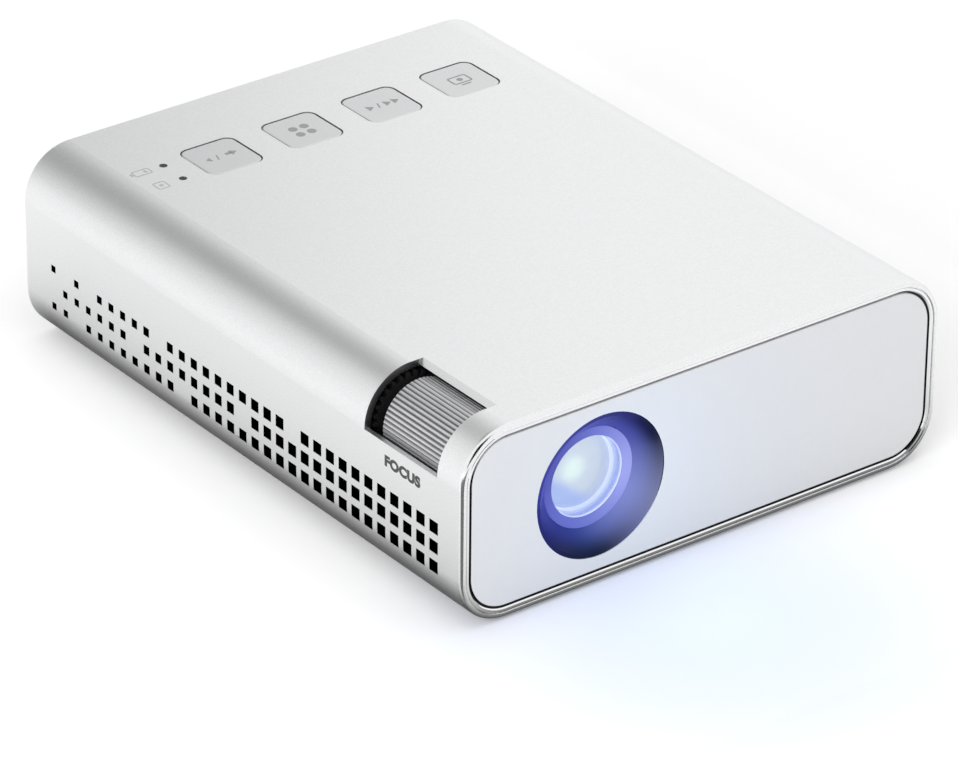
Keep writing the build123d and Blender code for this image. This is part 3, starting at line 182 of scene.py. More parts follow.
noiseSpan = (0.3, 0.7)  # nearly all of a noise's values lie between these
noiseDetail = {"cloud": 4.0, "grain": 2.0}


def remap(tree, noise, low, high):
    return mapRange(tree, noise, *noiseSpan, low, high)


def shadeVariation(tree, noise, colour, spread):
    ramp = tree.nodes.new("ShaderNodeValToRGB")
    for stop, position, change in zip(ramp.color_ramp.elements, noiseSpan, (1 - spread, 1 + spread)):
        stop.position = position
        stop.color = [min(1, part * change) for part in colour] + [1]
    tree.links.new(noise, ramp.inputs["Fac"])
    return ramp.outputs["Color"]


def colourRamp(tree, value, stops, smooth="LINEAR"):
    ramp = tree.nodes.new("ShaderNodeValToRGB")
    ramp.color_ramp.interpolation = smooth
    ramp.color_ramp.elements.remove(ramp.color_ramp.elements[1])
    for number, (position, colour) in enumerate(stops):
        first = ramp.color_ramp.elements[0]
        stop = first if number == 0 else ramp.color_ramp.elements.new(position)
        stop.position = position
        stop.color = (*colour, 1)
    tree.links.new(value, ramp.inputs["Fac"])
    return ramp.outputs["Color"]


def bumpFrom(tree, shader, value, strength, height):
    bump = tree.nodes.new("ShaderNodeBump")
    bump.inputs["Strength"].default_value = strength
    bump.inputs["Distance"].default_value = height
    tree.links.new(value, bump.inputs["Height"])
    tree.links.new(bump.outputs["Normal"], shader.inputs["Normal"])


def grainedMaterial(name, finish):
    # slow clouds vary the gloss, a fine grain makes the bump, and the two together vary the colour
    material, tree, shader = newMaterial(name)
    shader.inputs["Metallic"].default_value = finish.get("metallic", 0.0)
    shader.inputs["Coat Weight"].default_value = finish.get("coat", 0.0)
    shader.inputs["Coat Roughness"].default_value = finish.get("coatRoughness", 0.05)
    stretch = finish.get("stretch", (1, 1, 1))
    cloud = objectNoise(tree, finish["cloudScale"], noiseDetail["cloud"], stretch)
    grain = objectNoise(tree, finish["grainScale"], noiseDetail["grain"], stretch)
    grainShare = finish.get("grainShare", 0.5)
    cloudPart = addMath(tree, "MULTIPLY", cloud, 1 - grainShare)
    mixed = addMath(tree, "MULTIPLY_ADD", grain, grainShare, cloudPart)
    shade = shadeVariation(tree, mixed, finish["colour"], finish["spread"])
    tree.links.new(shade, shader.inputs["Base Color"])
    tree.links.new(remap(tree, cloud, *finish["roughness"]), shader.inputs["Roughness"])
    bumpFrom(tree, shader, grain, finish["bump"], finish["bumpHeight"])
    return material


def cloudedShader(tree, shader, look):
    cloud = objectNoise(tree, look["cloudScale"], look.get("cloudDetail", 3.0))
    shade = shadeVariation(tree, cloud, look["base"], look["spread"])
    tree.links.new(shade, shader.inputs["Base Color"])
    tree.links.new(remap(tree, cloud, *look["roughness"]), shader.inputs["Roughness"])


def presentColour(shader):
    return shader.inputs["Base Color"].links[0].from_socket


def between(tree, value, low, high):
    above = addMath(tree, "GREATER_THAN", value, low)
    below = addMath(tree, "LESS_THAN", value, high)
    return addMath(tree, "MULTIPLY", above, below)


def insideBox(tree, axes, spans):
    # 1 where all three axes are inside their spans, and 0 elsewhere
    x, y, z = (between(tree, value, *span) for value, span in zip(axes, spans))
    return addMath(tree, "MULTIPLY", addMath(tree, "MULTIPLY", x, y), z)


def blendValue(tree, mask, value, socket):
    # the socket's present value where the mask is 0, and the given one where it is 1
    node = tree.nodes.new("ShaderNodeMix")
    tree.links.new(mask, node.inputs["Factor"])
    feed(tree, socket.links[0].from_socket if socket.is_linked else socket.default_value, node.inputs["A"])
    node.inputs["B"].default_value = value
    tree.links.new(node.outputs["Result"], socket)


sleeveMetal = {
    "colour": (0.875, 0.88, 0.885), "spread": 0.05, "metallic": 1.0, "roughness": (0.33, 0.36),
    "cloudScale": 14, "grainScale": 3000, "grainShare": 0.9, "bump": 0.3, "bumpHeight": 0.00005,
    "skinDepth": 0.13 * mm, "rimDepth": 1.2 * mm, "rimRoughness": 0.16, "rimBump": 0.03,
    # the walls inside the vents and holes get a painted shade, nearly black
    "holesFrom": 10.4 * mm, "holesTo": 23.0 * mm, "holeShade": (0.004, 0.004, 0.004, 1),
}
# the opening for the wheel: where its walls stand, and the painted shade on them
wheelWindow = {
    "edgeReach": 2.0 * mm, "bevel": 1.15 * mm, "front": -69.5 * mm, "rear": -45.4 * mm, "slit": 0.06 * mm,
    "sillDrop": 0.2 * mm, "sillLit": 1.1 * mm,
    # painted shade for the upper wall, the sill and the rear wall
    "edgeShade": (0.006, 0.006, 0.006, 1), "sillShade": (0.02, 0.02, 0.02, 1),
    "rearShade": (0.30, 0.30, 0.305, 1),
}


def blastedMetal():
    # the same grain all over, painted shade on the walls inside the openings and a smoother front rim
    material = grainedMaterial("blastedMetal", sleeveMetal)
    tree = material.node_tree
    shader = tree.nodes["Principled BSDF"]
    low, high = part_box("outer_sleeve")
    wheelLow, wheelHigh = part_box("focus_wheel")
    skin, rimDepth = sleeveMetal["skinDepth"], sleeveMetal["rimDepth"]
    slit, front, rear = wheelWindow["slit"], wheelWindow["front"], wheelWindow["rear"]
    edge = (wheelLow.x + wheelHigh.x) / 2 + wheelWindow["edgeReach"]
    sill = (wheelLow.z + wheelHigh.z) / 2 - wheelWindow["sillDrop"]
    # painted shade on the walls inside the vents and holes
    holes = ((low.x + skin, high.x - skin), (low.y + rimDepth, high.y - rimDepth),
             (sleeveMetal["holesFrom"], sleeveMetal["holesTo"]))
    # painted shade on the opening's upper wall (near black), its sill (dark) and its rear wall (grey)
    edgeWall = ((edge - slit, edge + slit), (wheelLow.y, rear - slit),
                (wheelHigh.z - slit, high.z - wheelWindow["bevel"]))
    sillWall = ((low.x + wheelWindow["sillLit"], edge), (front, rear + slit), (sill - slit, sill + slit))
    rearWall = ((low.x - slit, edge), (rear - slit, rear + slit), (sill - slit, high.z))
    axes = splitAxes(tree, objectPlace(tree))
    # lays each painted shade over the metal's own colour
    for spans, shade in ((holes, sleeveMetal["holeShade"]), (edgeWall, wheelWindow["edgeShade"]),
                         (sillWall, wheelWindow["sillShade"]), (rearWall, wheelWindow["rearShade"])):
        painted = mixColour(tree, insideBox(tree, axes, spans), presentColour(shader), shade)
        tree.links.new(painted, shader.inputs["Base Color"])
    rim = between(tree, axes[1], low.y - skin, low.y + rimDepth)
    blendValue(tree, rim, sleeveMetal["rimRoughness"], shader.inputs["Roughness"])
    bump = shader.inputs["Normal"].links[0].from_node
    blendValue(tree, rim, sleeveMetal["rimBump"], bump.inputs["Strength"])
    return material


panelLook = {
    "colour": (0.695, 0.702, 0.714), "spread": 0.012, "roughness": (0.16, 0.20), "coat": 0.6,
    "coatRoughness": 0.04, "cloudScale": 25, "grainScale": 900, "bump": 0.02, "bumpHeight": 0.00002,
    # the painted shade on the cut edge, and the turns of its faces that stay clear of it
    "edgeShade": (0.012, 0.012, 0.014, 1), "steep": 0.35, "flat": 0.75, "upFrom": 0.3, "upTo": 0.7,
}


def panelGloss():
    # painted shade on the panel's cut edge, apart from where it faces up and keeps its own colour
    material = grainedMaterial("panelGloss", panelLook)
    tree = material.node_tree
    shader = tree.nodes["Principled BSDF"]
    form = tree.nodes.new("ShaderNodeNewGeometry")
    x, y, z = splitAxes(tree, form.outputs["True Normal"])
    facing = mapRange(tree, y, -panelLook["steep"], -panelLook["flat"])
    upward = mapRange(tree, z, panelLook["upFrom"], panelLook["upTo"])
    bright = addMath(tree, "MAXIMUM", facing, upward)
    # painted shade on the edge faces
    painted = mixColour(tree, bright, panelLook["edgeShade"], presentColour(shader))
    tree.links.new(painted, shader.inputs["Base Color"])
    return material


screenLook = {"threads": 400, "base": (0.002, 0.002, 0.002), "spread": 0.6, "roughness": (0.55, 0.8),
              "specular": 0.05, "bump": 0.4, "bumpHeight": 0.00005}


def darkScreen():
    # a weave of two crossed bands
    material, tree, shader = newMaterial("darkScreen")
    place = objectPlace(tree)
    threads = []
    for direction in ("Y", "Z"):
        wave = tree.nodes.new("ShaderNodeTexWave")
        wave.wave_type = "BANDS"
        wave.bands_direction = direction
        wave.inputs["Scale"].default_value = screenLook["threads"]
        tree.links.new(place, wave.inputs["Vector"])
        threads.append(wave.outputs["Fac"])
    weave = addMath(tree, "MAXIMUM", *threads)
    shade = shadeVariation(tree, weave, screenLook["base"], screenLook["spread"])
    tree.links.new(shade, shader.inputs["Base Color"])
    shader.inputs["Specular IOR Level"].default_value = screenLook["specular"]
    tree.links.new(remap(tree, weave, *screenLook["roughness"]), shader.inputs["Roughness"])
    bumpFrom(tree, shader, weave, screenLook["bump"], screenLook["bumpHeight"])
    return material


def lensAxis():
    low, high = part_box("front_lens")
    return (low.x + high.x) / 2, (low.z + high.z) / 2


def aboutLensAxis(tree):
    # the vector from the lens axis, laid flat: its first two numbers run along X and Z
    x, y, z = splitAxes(tree, objectPlace(tree))
    flat = tree.nodes.new("ShaderNodeCombineXYZ")
    tree.links.new(x, flat.inputs["X"])
    tree.links.new(z, flat.inputs["Y"])
    return addVectorMath(tree, "SUBTRACT", flat.outputs[0], (*lensAxis(), 0))


def lensRadius(tree, start, end):
    # 0 at the start radius and 1 at the end radius, in millimetres
    length = addVectorMath(tree, "LENGTH", aboutLensAxis(tree))
    return mapRange(tree, length, start * mm, end * mm, smooth="SMOOTHSTEP")


def lensTurn(tree):
    # 0 to 1 all round the lens axis, from its left side: down, right, up and back to the left
    turn = tree.nodes.new("ShaderNodeTexGradient")
    turn.gradient_type = "RADIAL"
    tree.links.new(aboutLensAxis(tree), turn.inputs["Vector"])
    return turn.outputs["Fac"]


hoodLook = {
    "base": (0.004, 0.005, 0.022), "spread": 0.12, "roughness": (0.28, 0.34), "cloudScale": 60,
    "specular": 0.06, "grainScale": 1500, "bump": 0.05, "bumpHeight": 0.00003, "strength": 1.0,
    # lamplight on the wall at its two ends, round from the left side
    "throat": ((0.0, (0.04, 0.045, 0.32)), (0.15, (0.02, 0.03, 0.20)), (0.25, (0.03, 0.06, 0.29)),
               (0.38, (0.24, 0.28, 0.66)), (0.47, (0.19, 0.23, 0.55)), (0.58, (0.06, 0.07, 0.35)),
               (0.74, (0.04, 0.05, 0.32)), (0.88, (0.09, 0.11, 0.50)), (1.0, (0.04, 0.045, 0.32))),
    "rim": ((0.0, (0.02, 0.024, 0.24)), (0.12, (0.006, 0.010, 0.05)), (0.23, (0.0, 0.005, 0.014)),
            (0.29, (0.006, 0.014, 0.032)), (0.37, (0.17, 0.19, 0.40)), (0.45, (0.19, 0.22, 0.38)),
            (0.55, (0.0, 0.003, 0.010)), (0.60, (0.0, 0.002, 0.012)), (0.66, (0.002, 0.003, 0.05)),
            (0.86, (0.07, 0.075, 0.40)), (1.0, (0.02, 0.024, 0.24))),
    "throatRadius": 11.3,
    "rimRadius": 15.4,
}


def hoodBlue():
    material, tree, shader = newMaterial("hoodBlue")
    turn = lensTurn(tree)
    outward = lensRadius(tree, hoodLook["throatRadius"], hoodLook["rimRadius"])
    glow = mixColour(tree, outward, colourRamp(tree, turn, hoodLook["throat"], "B_SPLINE"),
                     colourRamp(tree, turn, hoodLook["rim"], "B_SPLINE"))
    tree.links.new(glow, shader.inputs["Emission Color"])
    shader.inputs["Emission Strength"].default_value = hoodLook["strength"]
    cloudedShader(tree, shader, hoodLook)
    shader.inputs["Specular IOR Level"].default_value = hoodLook["specular"]
    grain = objectNoise(tree, hoodLook["grainScale"])
    bumpFrom(tree, shader, grain, hoodLook["bump"], hoodLook["bumpHeight"])
    return material


glassIndex = 1.5


def glassFinish(name, look):
    material, tree, shader = newMaterial(name)
    shader.inputs["Transmission Weight"].default_value = 1.0
    shader.inputs["IOR"].default_value = glassIndex
    shader.inputs["Coat Weight"].default_value = look["coat"]
    cloudedShader(tree, shader, look)
    return material


wheelLook = {
    "colour": (0.60, 0.60, 0.61), "spread": 0.12, "metallic": 0.6, "roughness": (0.32, 0.44),
    "stretch": (1, 0.12, 1), "cloudScale": 200, "grainScale": 3500, "bump": 0.3, "bumpHeight": 0.00005,
    # the painted shade in the grooves, and how deep it reaches
    "grooveBottom": 0.30 * mm, "grooveCrest": 0.14 * mm, "grooveShade": (0.10, 0.10, 0.105, 1),
}


def wheelSilver():
    # silver ribs, with painted shade where the grooves reach into the wheel
    material = grainedMaterial("wheelSilver", wheelLook)
    tree = material.node_tree
    shader = tree.nodes["Principled BSDF"]
    low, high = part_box("focus_wheel")
    radius = (high.z - low.z) / 2
    flat = addVectorMath(tree, "MULTIPLY", objectPlace(tree), (1, 0, 1))
    reach = addVectorMath(tree, "DISTANCE", flat, ((low.x + high.x) / 2, 0, (low.z + high.z) / 2))
    crest = mapRange(tree, reach, radius - wheelLook["grooveBottom"], radius - wheelLook["grooveCrest"])
    # painted shade in the groove bottoms, fading out towards the crests
    painted = mixColour(tree, crest, wheelLook["grooveShade"], presentColour(shader))
    tree.links.new(painted, shader.inputs["Base Color"])
    return material


def plainFinish(name, colour, metallic=0.0, roughness=(0.35, 0.5), spread=0.12, grain=1800, bump=0.25):
    return grainedMaterial(name, {
        "colour": colour, "spread": spread, "metallic": metallic, "roughness": roughness,
        "cloudScale": 90, "grainScale": grain, "bump": bump, "bumpHeight": 0.00005})


boardLook = {"scale": 260, "mask": (0.010, 0.075, 0.035, 1), "maskLight": (0.014, 0.100, 0.045, 1),
             "tracks": (0.030, 0.160, 0.070, 1), "trackWidth": 0.03, "cloudScale": 500,
             "roughness": (0.25, 0.4), "bump": 0.3, "bumpHeight": 0.00004}


def boardGreen():
    material, tree, shader = newMaterial("boardGreen")
    tracks = tree.nodes.new("ShaderNodeTexBrick")
    tracks.inputs["Scale"].default_value = boardLook["scale"]
    tracks.inputs["Color1"].default_value = boardLook["mask"]
    tracks.inputs["Color2"].default_value = boardLook["maskLight"]
    tracks.inputs["Mortar"].default_value = boardLook["tracks"]
    tracks.inputs["Mortar Size"].default_value = boardLook["trackWidth"]
    tree.links.new(objectPlace(tree), tracks.inputs["Vector"])
    tree.links.new(tracks.outputs["Color"], shader.inputs["Base Color"])
    cloud = objectNoise(tree, boardLook["cloudScale"])
    tree.links.new(remap(tree, cloud, *boardLook["roughness"]), shader.inputs["Roughness"])
    bumpFrom(tree, shader, tracks.outputs["Fac"], boardLook["bump"], boardLook["bumpHeight"])
    return material


# one finish for each slot of the CAD parts
finishes = {
    "case_aluminium": blastedMetal(),
    "bright_trim": grainedMaterial("polishedTrim", {
        "colour": (0.90, 0.90, 0.91), "spread": 0.03, "metallic": 1.0, "roughness": (0.08, 0.16),
        "cloudScale": 120, "grainScale": 2500, "bump": 0.05, "bumpHeight": 0.00002}),
    "dark_seal": grainedMaterial("sealRubber", {
        "colour": (0.008, 0.009, 0.012), "spread": 0.25, "roughness": (0.45, 0.65),
        "cloudScale": 300, "grainScale": 4000, "bump": 0.3, "bumpHeight": 0.00005}),
    "glossy_panel": panelGloss(),
    "black_plastic": grainedMaterial("mouldedBlack", {
        "colour": (0.018, 0.018, 0.020), "spread": 0.3, "roughness": (0.42, 0.58),
        "cloudScale": 150, "grainScale": 2600, "bump": 0.4, "bumpHeight": 0.00006}),
    "hood_plastic": hoodBlue(),
    "dark_screen": darkScreen(),
    "foot_rubber": grainedMaterial("footRubber", {
        "colour": (0.035, 0.035, 0.036), "spread": 0.3, "roughness": (0.7, 0.85),
        "cloudScale": 400, "grainScale": 2200, "bump": 0.5, "bumpHeight": 0.0001}),
    "screw_steel": plainFinish("screwSteel", (0.16, 0.16, 0.17), 1.0, (0.3, 0.42)),
    "insert_brass": plainFinish("insertBrass", (0.66, 0.50, 0.24), 1.0, (0.24, 0.36)),
    "tray_plastic": plainFinish("trayPlastic", (0.06, 0.06, 0.065), 0.0, (0.45, 0.6)),
    "key_aluminium": grainedMaterial("keyMetal", {
        "colour": (0.745, 0.75, 0.755), "spread": 0.05, "metallic": 1.0, "roughness": (0.36, 0.44),
        "cloudScale": 80, "grainScale": 3200, "grainShare": 0.85, "bump": 0.35, "bumpHeight": 0.00006}),
    "wheel_plastic": wheelSilver(),
    "gear_plastic": plainFinish("gearPlastic", (0.014, 0.014, 0.015), 0.0, (0.4, 0.55), 0.2),
    "shaft_steel": plainFinish("shaftSteel", (0.60, 0.60, 0.62), 1.0, (0.15, 0.25), 0.06),
    "lens_glass": glassFinish("coatedGlass", {
        "base": (0.94, 0.96, 0.99), "spread": 0.01, "roughness": (0.0, 0.025), "coat": 0.2,
        "cloudScale": 140}),
    "clear_lens": glassFinish("clearGlass", {
        "base": (0.92, 0.95, 0.97), "spread": 0.02, "roughness": (0.01, 0.05), "coat": 0.0,
        "cloudScale": 200}),
    "engine_magnesium": plainFinish("castMagnesium", (0.10, 0.10, 0.11), 0.8, (0.4, 0.55)),
    "mirror_coat": plainFinish("mirrorCoat", (0.90, 0.90, 0.92), 1.0, (0.02, 0.06), 0.02, 300, 0.02),
    "board_green": boardGreen(),
    "chip_black": plainFinish("chipBlack", (0.02, 0.02, 0.022), 0.0, (0.4, 0.55)),
    "lamp_base": plainFinish("lampCeramic", (0.75, 0.75, 0.72), 0.0, (0.4, 0.5), 0.05),
    "heat_copper": plainFinish("bareCopper", (0.72, 0.36, 0.22), 1.0, (0.22, 0.36)),
    "fin_aluminium": plainFinish("finAluminium", (0.78, 0.78, 0.80), 1.0, (0.28, 0.4), 0.06),
    "fan_plastic": plainFinish("fanPlastic", (0.025, 0.025, 0.027), 0.0, (0.38, 0.5)),
    "cone_paper": plainFinish("conePaper", (0.05, 0.048, 0.045), 0.0, (0.7, 0.85), 0.3, 900, 0.6),
    "magnet_steel": plainFinish("magnetSteel", (0.55, 0.55, 0.57), 1.0, (0.25, 0.35)),
    "cell_foil": plainFinish("cellFoil", (0.62, 0.63, 0.65), 0.9, (0.3, 0.45), 0.08, 500, 0.5),
    "port_steel": plainFinish("portSteel", (0.62, 0.62, 0.64), 1.0, (0.2, 0.32), 0.06),
}
for entry in frame["record"]["subparts"]:
    node = nodes[entry["node"]]
    node.data.materials.clear()
    node.data.materials.append(finishes[entry["material_slot"]])
# the lens cell's edge, seen round the glass, is blue
nodes["lens_cell"].data.materials[0] = grainedMaterial("cellBlue", {
    "colour": (0.030, 0.035, 0.14), "spread": 0.10, "roughness": (0.3, 0.4),
    "cloudScale": 90, "grainScale": 1800, "bump": 0.05, "bumpHeight": 0.00003})
print("finishes set:", len(finishes))


# shared modelling steps
def pickNone():
    if bpy.context.object and bpy.context.object.mode != "OBJECT":
        bpy.ops.object.mode_set(mode="OBJECT")
    bpy.ops.object.select_all(action="DESELECT")


def pickOnly(piece):
    pickNone()
    piece.select_set(True)
    bpy.context.view_layer.objects.active = piece


def bakePlace(piece):
    pickOnly(piece)
    bpy.ops.object.transform_apply(location=True, rotation=True, scale=True)


def joinPieces(name, pieces):
    pickNone()
    for piece in pieces:
        piece.select_set(True)
    bpy.context.view_layer.objects.active = pieces[0]
    bpy.ops.object.join()
    joined = bpy.context.object
    joined.name = name
    return joined


def bevelEdges(piece, wanted, width):
    # rounds the edges that the test picks out
    pickOnly(piece)
    bpy.ops.object.mode_set(mode="EDIT")
    bpy.ops.mesh.select_mode(type="EDGE")
    bpy.ops.mesh.select_all(action="DESELECT")
    editing = bmesh.from_edit_mesh(piece.data)
    for edge in editing.edges:
        edge.select = wanted(edge)
    bmesh.update_edit_mesh(piece.data)
    bpy.ops.mesh.bevel(offset=width, segments=3, affect="EDGES")
    bpy.ops.object.mode_set(mode="OBJECT")


def finishPiece(piece, body, material):
    piece.data.materials.clear()
    piece.data.materials.append(material)
    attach(piece, body)


def inkGrey(name, shade):
    return plainFinish(name, (shade, shade, shade * 1.02), 0.0, (0.45, 0.6), 0.15, 2600, 0.15)


# printed marks: thin plates of ink that stand just proud of the metal
inkPlate = {"thick": 0.02 * mm, "dotSides": 24, "arrowRound": 0.12, "barRound": 0.3, "frameRound": 1.6,
            "frameSteps": 4}


def isUpright(edge):
    run = edge.verts[0].co - edge.verts[1].co
    return abs(run.z) > 0.9 * run.length  # within about 25 degrees


def discPlate(sides, place, radius, turn, narrow):
    pickNone()
    bpy.ops.mesh.primitive_cylinder_add(vertices=sides, radius=radius * mm, depth=inkPlate["thick"],
                                        location=place, rotation=(0, 0, math.radians(turn)))
    disc = bpy.context.object
    disc.scale = (1, narrow, 1)
    bakePlace(disc)
    return disc


def dotPlate(place, radius):
    return discPlate(inkPlate["dotSides"], place, radius, 0, 1)


def arrowPlate(place, radius, turn, narrow):
    arrow = discPlate(3, place, radius, turn, narrow)
    bevelEdges(arrow, isUpright, radius * mm * inkPlate["arrowRound"])
    return arrow


def barPlate(place, width, length, turn):
    pickNone()
    bpy.ops.mesh.primitive_cube_add(size=1, location=place, rotation=(0, 0, math.radians(turn)))
    bar = bpy.context.object
    bar.scale = (width * mm, length * mm, inkPlate["thick"])
    bakePlace(bar)
    bevelEdges(bar, isUpright, min(width, length) * mm * inkPlate["barRound"])
    return bar


def framePlate(place, width, length, line):
    # a plate with its middle cut out by an inset
    pickNone()
    x, y, z = place
    bpy.ops.mesh.primitive_plane_add(size=1, location=(x, y, z - inkPlate["thick"] / 2))
    loop = bpy.context.object
    loop.scale = (width * mm, length * mm, 1)
    bakePlace(loop)
    bpy.ops.object.mode_set(mode="EDIT")
    bpy.ops.mesh.select_all(action="SELECT")
    bpy.ops.mesh.bevel(offset=line * mm * inkPlate["frameRound"], segments=inkPlate["frameSteps"],
                       affect="VERTICES")
    bpy.ops.mesh.select_all(action="SELECT")
    bpy.ops.mesh.inset(thickness=line * mm)
    bpy.ops.mesh.delete(type="FACE")
    bpy.ops.mesh.select_all(action="SELECT")
    bpy.ops.mesh.extrude_region_move(TRANSFORM_OT_translate={"value": (0, 0, inkPlate["thick"])})
    bpy.ops.mesh.select_all(action="SELECT")
    bpy.ops.mesh.normals_make_consistent(inside=False)
    bpy.ops.object.mode_set(mode="OBJECT")
    return loop


def printMark(name, x, y, top, parts):
    # the parts' places are in millimetres to the right of the mark's middle and behind it
    shapes = {"dot": dotPlate, "arrow": arrowPlate, "bar": barPlate, "frame": framePlate}
    z = top + inkPlate["thick"] / 4
    pieces = [shapes[shape]((x + right * mm, y + behind * mm, z), *sizes)
              for shape, right, behind, *sizes in parts]
    return joinPieces(name, pieces)


# each part has its shape, its place right and behind, and then a dot's radius, an arrow's radius, turn and
# narrowing, a bar's width, length and turn, or a frame's width, length and line
keyMarks = {
    "key_back": ("keyMarkBack", (
        ("arrow", -3.1, 0, 1.08, 90, 0.8), ("bar", -1.0, 0, 0.35, 2.2, -18),
        ("arrow", 3.0, 0.3, 1.35, -90, 0.8), ("bar", 1.9, 0.3, 1.5, 0.9, 0))),
    "key_menu": ("keyMarkMenu", (
        ("dot", -1.45, -1.45, 1.05), ("dot", -1.45, 1.45, 1.05),
        ("dot", 1.45, -1.45, 1.05), ("dot", 1.45, 1.45, 1.05))),
    "key_play": ("keyMarkPlay", (
        ("arrow", -3.2, 0, 1.35, -90, 0.85), ("bar", -0.8, 0, 0.35, 2.2, -18),
        ("arrow", 1.3, 0, 1.35, -90, 0.85), ("arrow", 3.4, 0, 1.35, -90, 0.85))),
    "key_source": ("keyMarkSource", (
        ("frame", 0, 0, 5.0, 3.6, 0.45), ("dot", 0, 0, 0.735), ("bar", 0, -2.5, 2.5, 0.45, 0))),
}
keyMarkInk = inkGrey("keyMarkInk", 0.30)

for key, (markName, parts) in keyMarks.items():
    low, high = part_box(key)
    mark = printMark(markName, (low.x + high.x) / 2, (low.y + high.y) / 2, high.z, parts)
    finishPiece(mark, key, keyMarkInk)
print("key marks printed")

# two outline marks beside the indicator holes
indicatorInk = {"x": -46.2 * mm, "y": 54.8 * mm, "parts": (
    ("frame", 0, 0, 4.4, 2.6, 0.32), ("bar", -2.6, 0, 0.5, 1.2, 0), ("bar", 0.9, 0, 0.7, 1.3, 0),
    ("frame", 0, -7.3, 3.0, 3.2, 0.32), ("dot", 0, -7.3, 0.5))}
topInk = inkGrey("topInk", 0.42)
sleeveLow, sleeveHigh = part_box("outer_sleeve")
indicatorMarks = printMark("indicatorMarks", indicatorInk["x"], indicatorInk["y"], sleeveHigh.z,
                           indicatorInk["parts"])
finishPiece(indicatorMarks, "case", topInk)

# the wheel's word on the side wall
wheelWord = {"text": "FOCUS", "size": 3.1 * mm, "widen": 1.14, "y": -58.0 * mm, "z": 27.6 * mm,
             "sink": 0.01 * mm, "embolden": 0.20 * mm, "spacing": 1.08}


def printWheelWord():
    pickNone()
    bpy.ops.object.text_add(location=(0, 0, 0))
    word = bpy.context.object
    word.data.body = wheelWord["text"]
    word.data.size = wheelWord["size"]
    word.data.align_x = "CENTER"
    word.data.offset = wheelWord["embolden"]
    word.data.space_character = wheelWord["spacing"]
    word.data.extrude = inkPlate["thick"]
    bpy.ops.object.convert(target="MESH")
    word = bpy.context.object
    word.scale = (wheelWord["widen"], 1, 1)
    word.rotation_euler = (math.radians(90), 0, math.radians(-90))
    word.location = (sleeveLow.x + wheelWord["sink"], wheelWord["y"], wheelWord["z"])
    bakePlace(word)
    word.name = "wheelWord"
    return word


finishPiece(printWheelWord(), "case", inkGrey("sideInk", 0.05))
print("marks printed")

# pan heads with a cross, on the four flush screws of the rear panel
screwHeads = {
    "sides": 48,
    "radius": 2.25 * mm,
    "height": 0.38 * mm,
    "round": 0.16 * mm,
    "slotLength": 2.5 * mm,
    "slotWidth": 0.60 * mm,
    "slotDeep": 0.32 * mm,
    "inset": 5.86 * mm,
    "sink": 0.07 * mm,
    "turns": (20, -35, 52, 5),
    "smoothAngle": 35,
}


def panHead():
    # modelled round the origin, facing up
    top = screwHeads["height"]
    pickNone()
    bpy.ops.mesh.primitive_cylinder_add(vertices=screwHeads["sides"], radius=screwHeads["radius"],
                                        depth=top, location=(0, 0, top / 2))
    head = bpy.context.object
    bakePlace(head)
    bevelEdges(head, lambda edge: all(end.co.z > top * 0.9 for end in edge.verts), screwHeads["round"])
    for turn in (0, 90):
        pickNone()
        bpy.ops.mesh.primitive_cube_add(size=1, location=(0, 0, top), rotation=(0, 0, math.radians(turn)))
        cutter = bpy.context.object
        cutter.scale = (screwHeads["slotLength"], screwHeads["slotWidth"], 2 * screwHeads["slotDeep"])
        bakePlace(cutter)
        cross = head.modifiers.new("cross", "BOOLEAN")
        cross.operation = "DIFFERENCE"
        cross.object = cutter
        pickOnly(head)
        bpy.ops.object.modifier_apply(modifier="cross")
        bpy.data.objects.remove(cutter)
    bpy.ops.object.shade_smooth_by_angle(angle=math.radians(screwHeads["smoothAngle"]))
    return head


def setScrewHeads():
    low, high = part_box("rear_panel")
    inset = screwHeads["inset"]
    corners = [(x, z) for x in (low.x + inset, high.x - inset) for z in (low.z + inset, high.z - inset)]
    pattern = panHead()
    for number, (x, z) in enumerate(corners):
        head = pattern.copy()
        head.data = pattern.data.copy()
        bpy.context.collection.objects.link(head)
        head.name = "screwHead" + str(number + 1)
        head.rotation_euler = (math.radians(-90), math.radians(screwHeads["turns"][number]), 0)
        head.location = (x, high.y - screwHeads["sink"], z)
        bakePlace(head)
        finishPiece(head, "case", finishes["screw_steel"])
    bpy.data.objects.remove(pattern)


setScrewHeads()
print("screw heads set")

# the front glass as a thin meniscus, a violet ring that holds it, and the lit wall and disc behind it;
# each outline is in millimetres of radius and of depth behind the case's front
frontOptics = {
    "sides": 96,
    "glass": ((0.6, 5.1), (2.0, 5.15), (4.5, 5.3), (7.0, 5.65), (8.3, 5.95), (8.8, 6.1), (8.8, 5.35),
              (8.3, 5.1), (7.0, 4.75), (5.0, 4.3), (2.5, 3.98), (0.6, 3.88)),
    "ring": ((11.1, 4.85), (11.1, 4.42), (10.9, 4.33), (10.0, 4.5), (9.2, 4.72), (9.0, 4.82), (9.0, 4.95)),
    "ringBack": ((10.5, 4.95),),
    "wall": ((8.98, 5.0), (8.93, 5.3), (8.88, 6.3), (8.62, 6.4), (8.52, 7.3), (8.27, 7.4), (8.12, 8.2),
             (7.95, 8.5)),
    "wallThick": 0.12,
    "smoothAngle": 40,
    "wallSmoothAngle": 20,
}


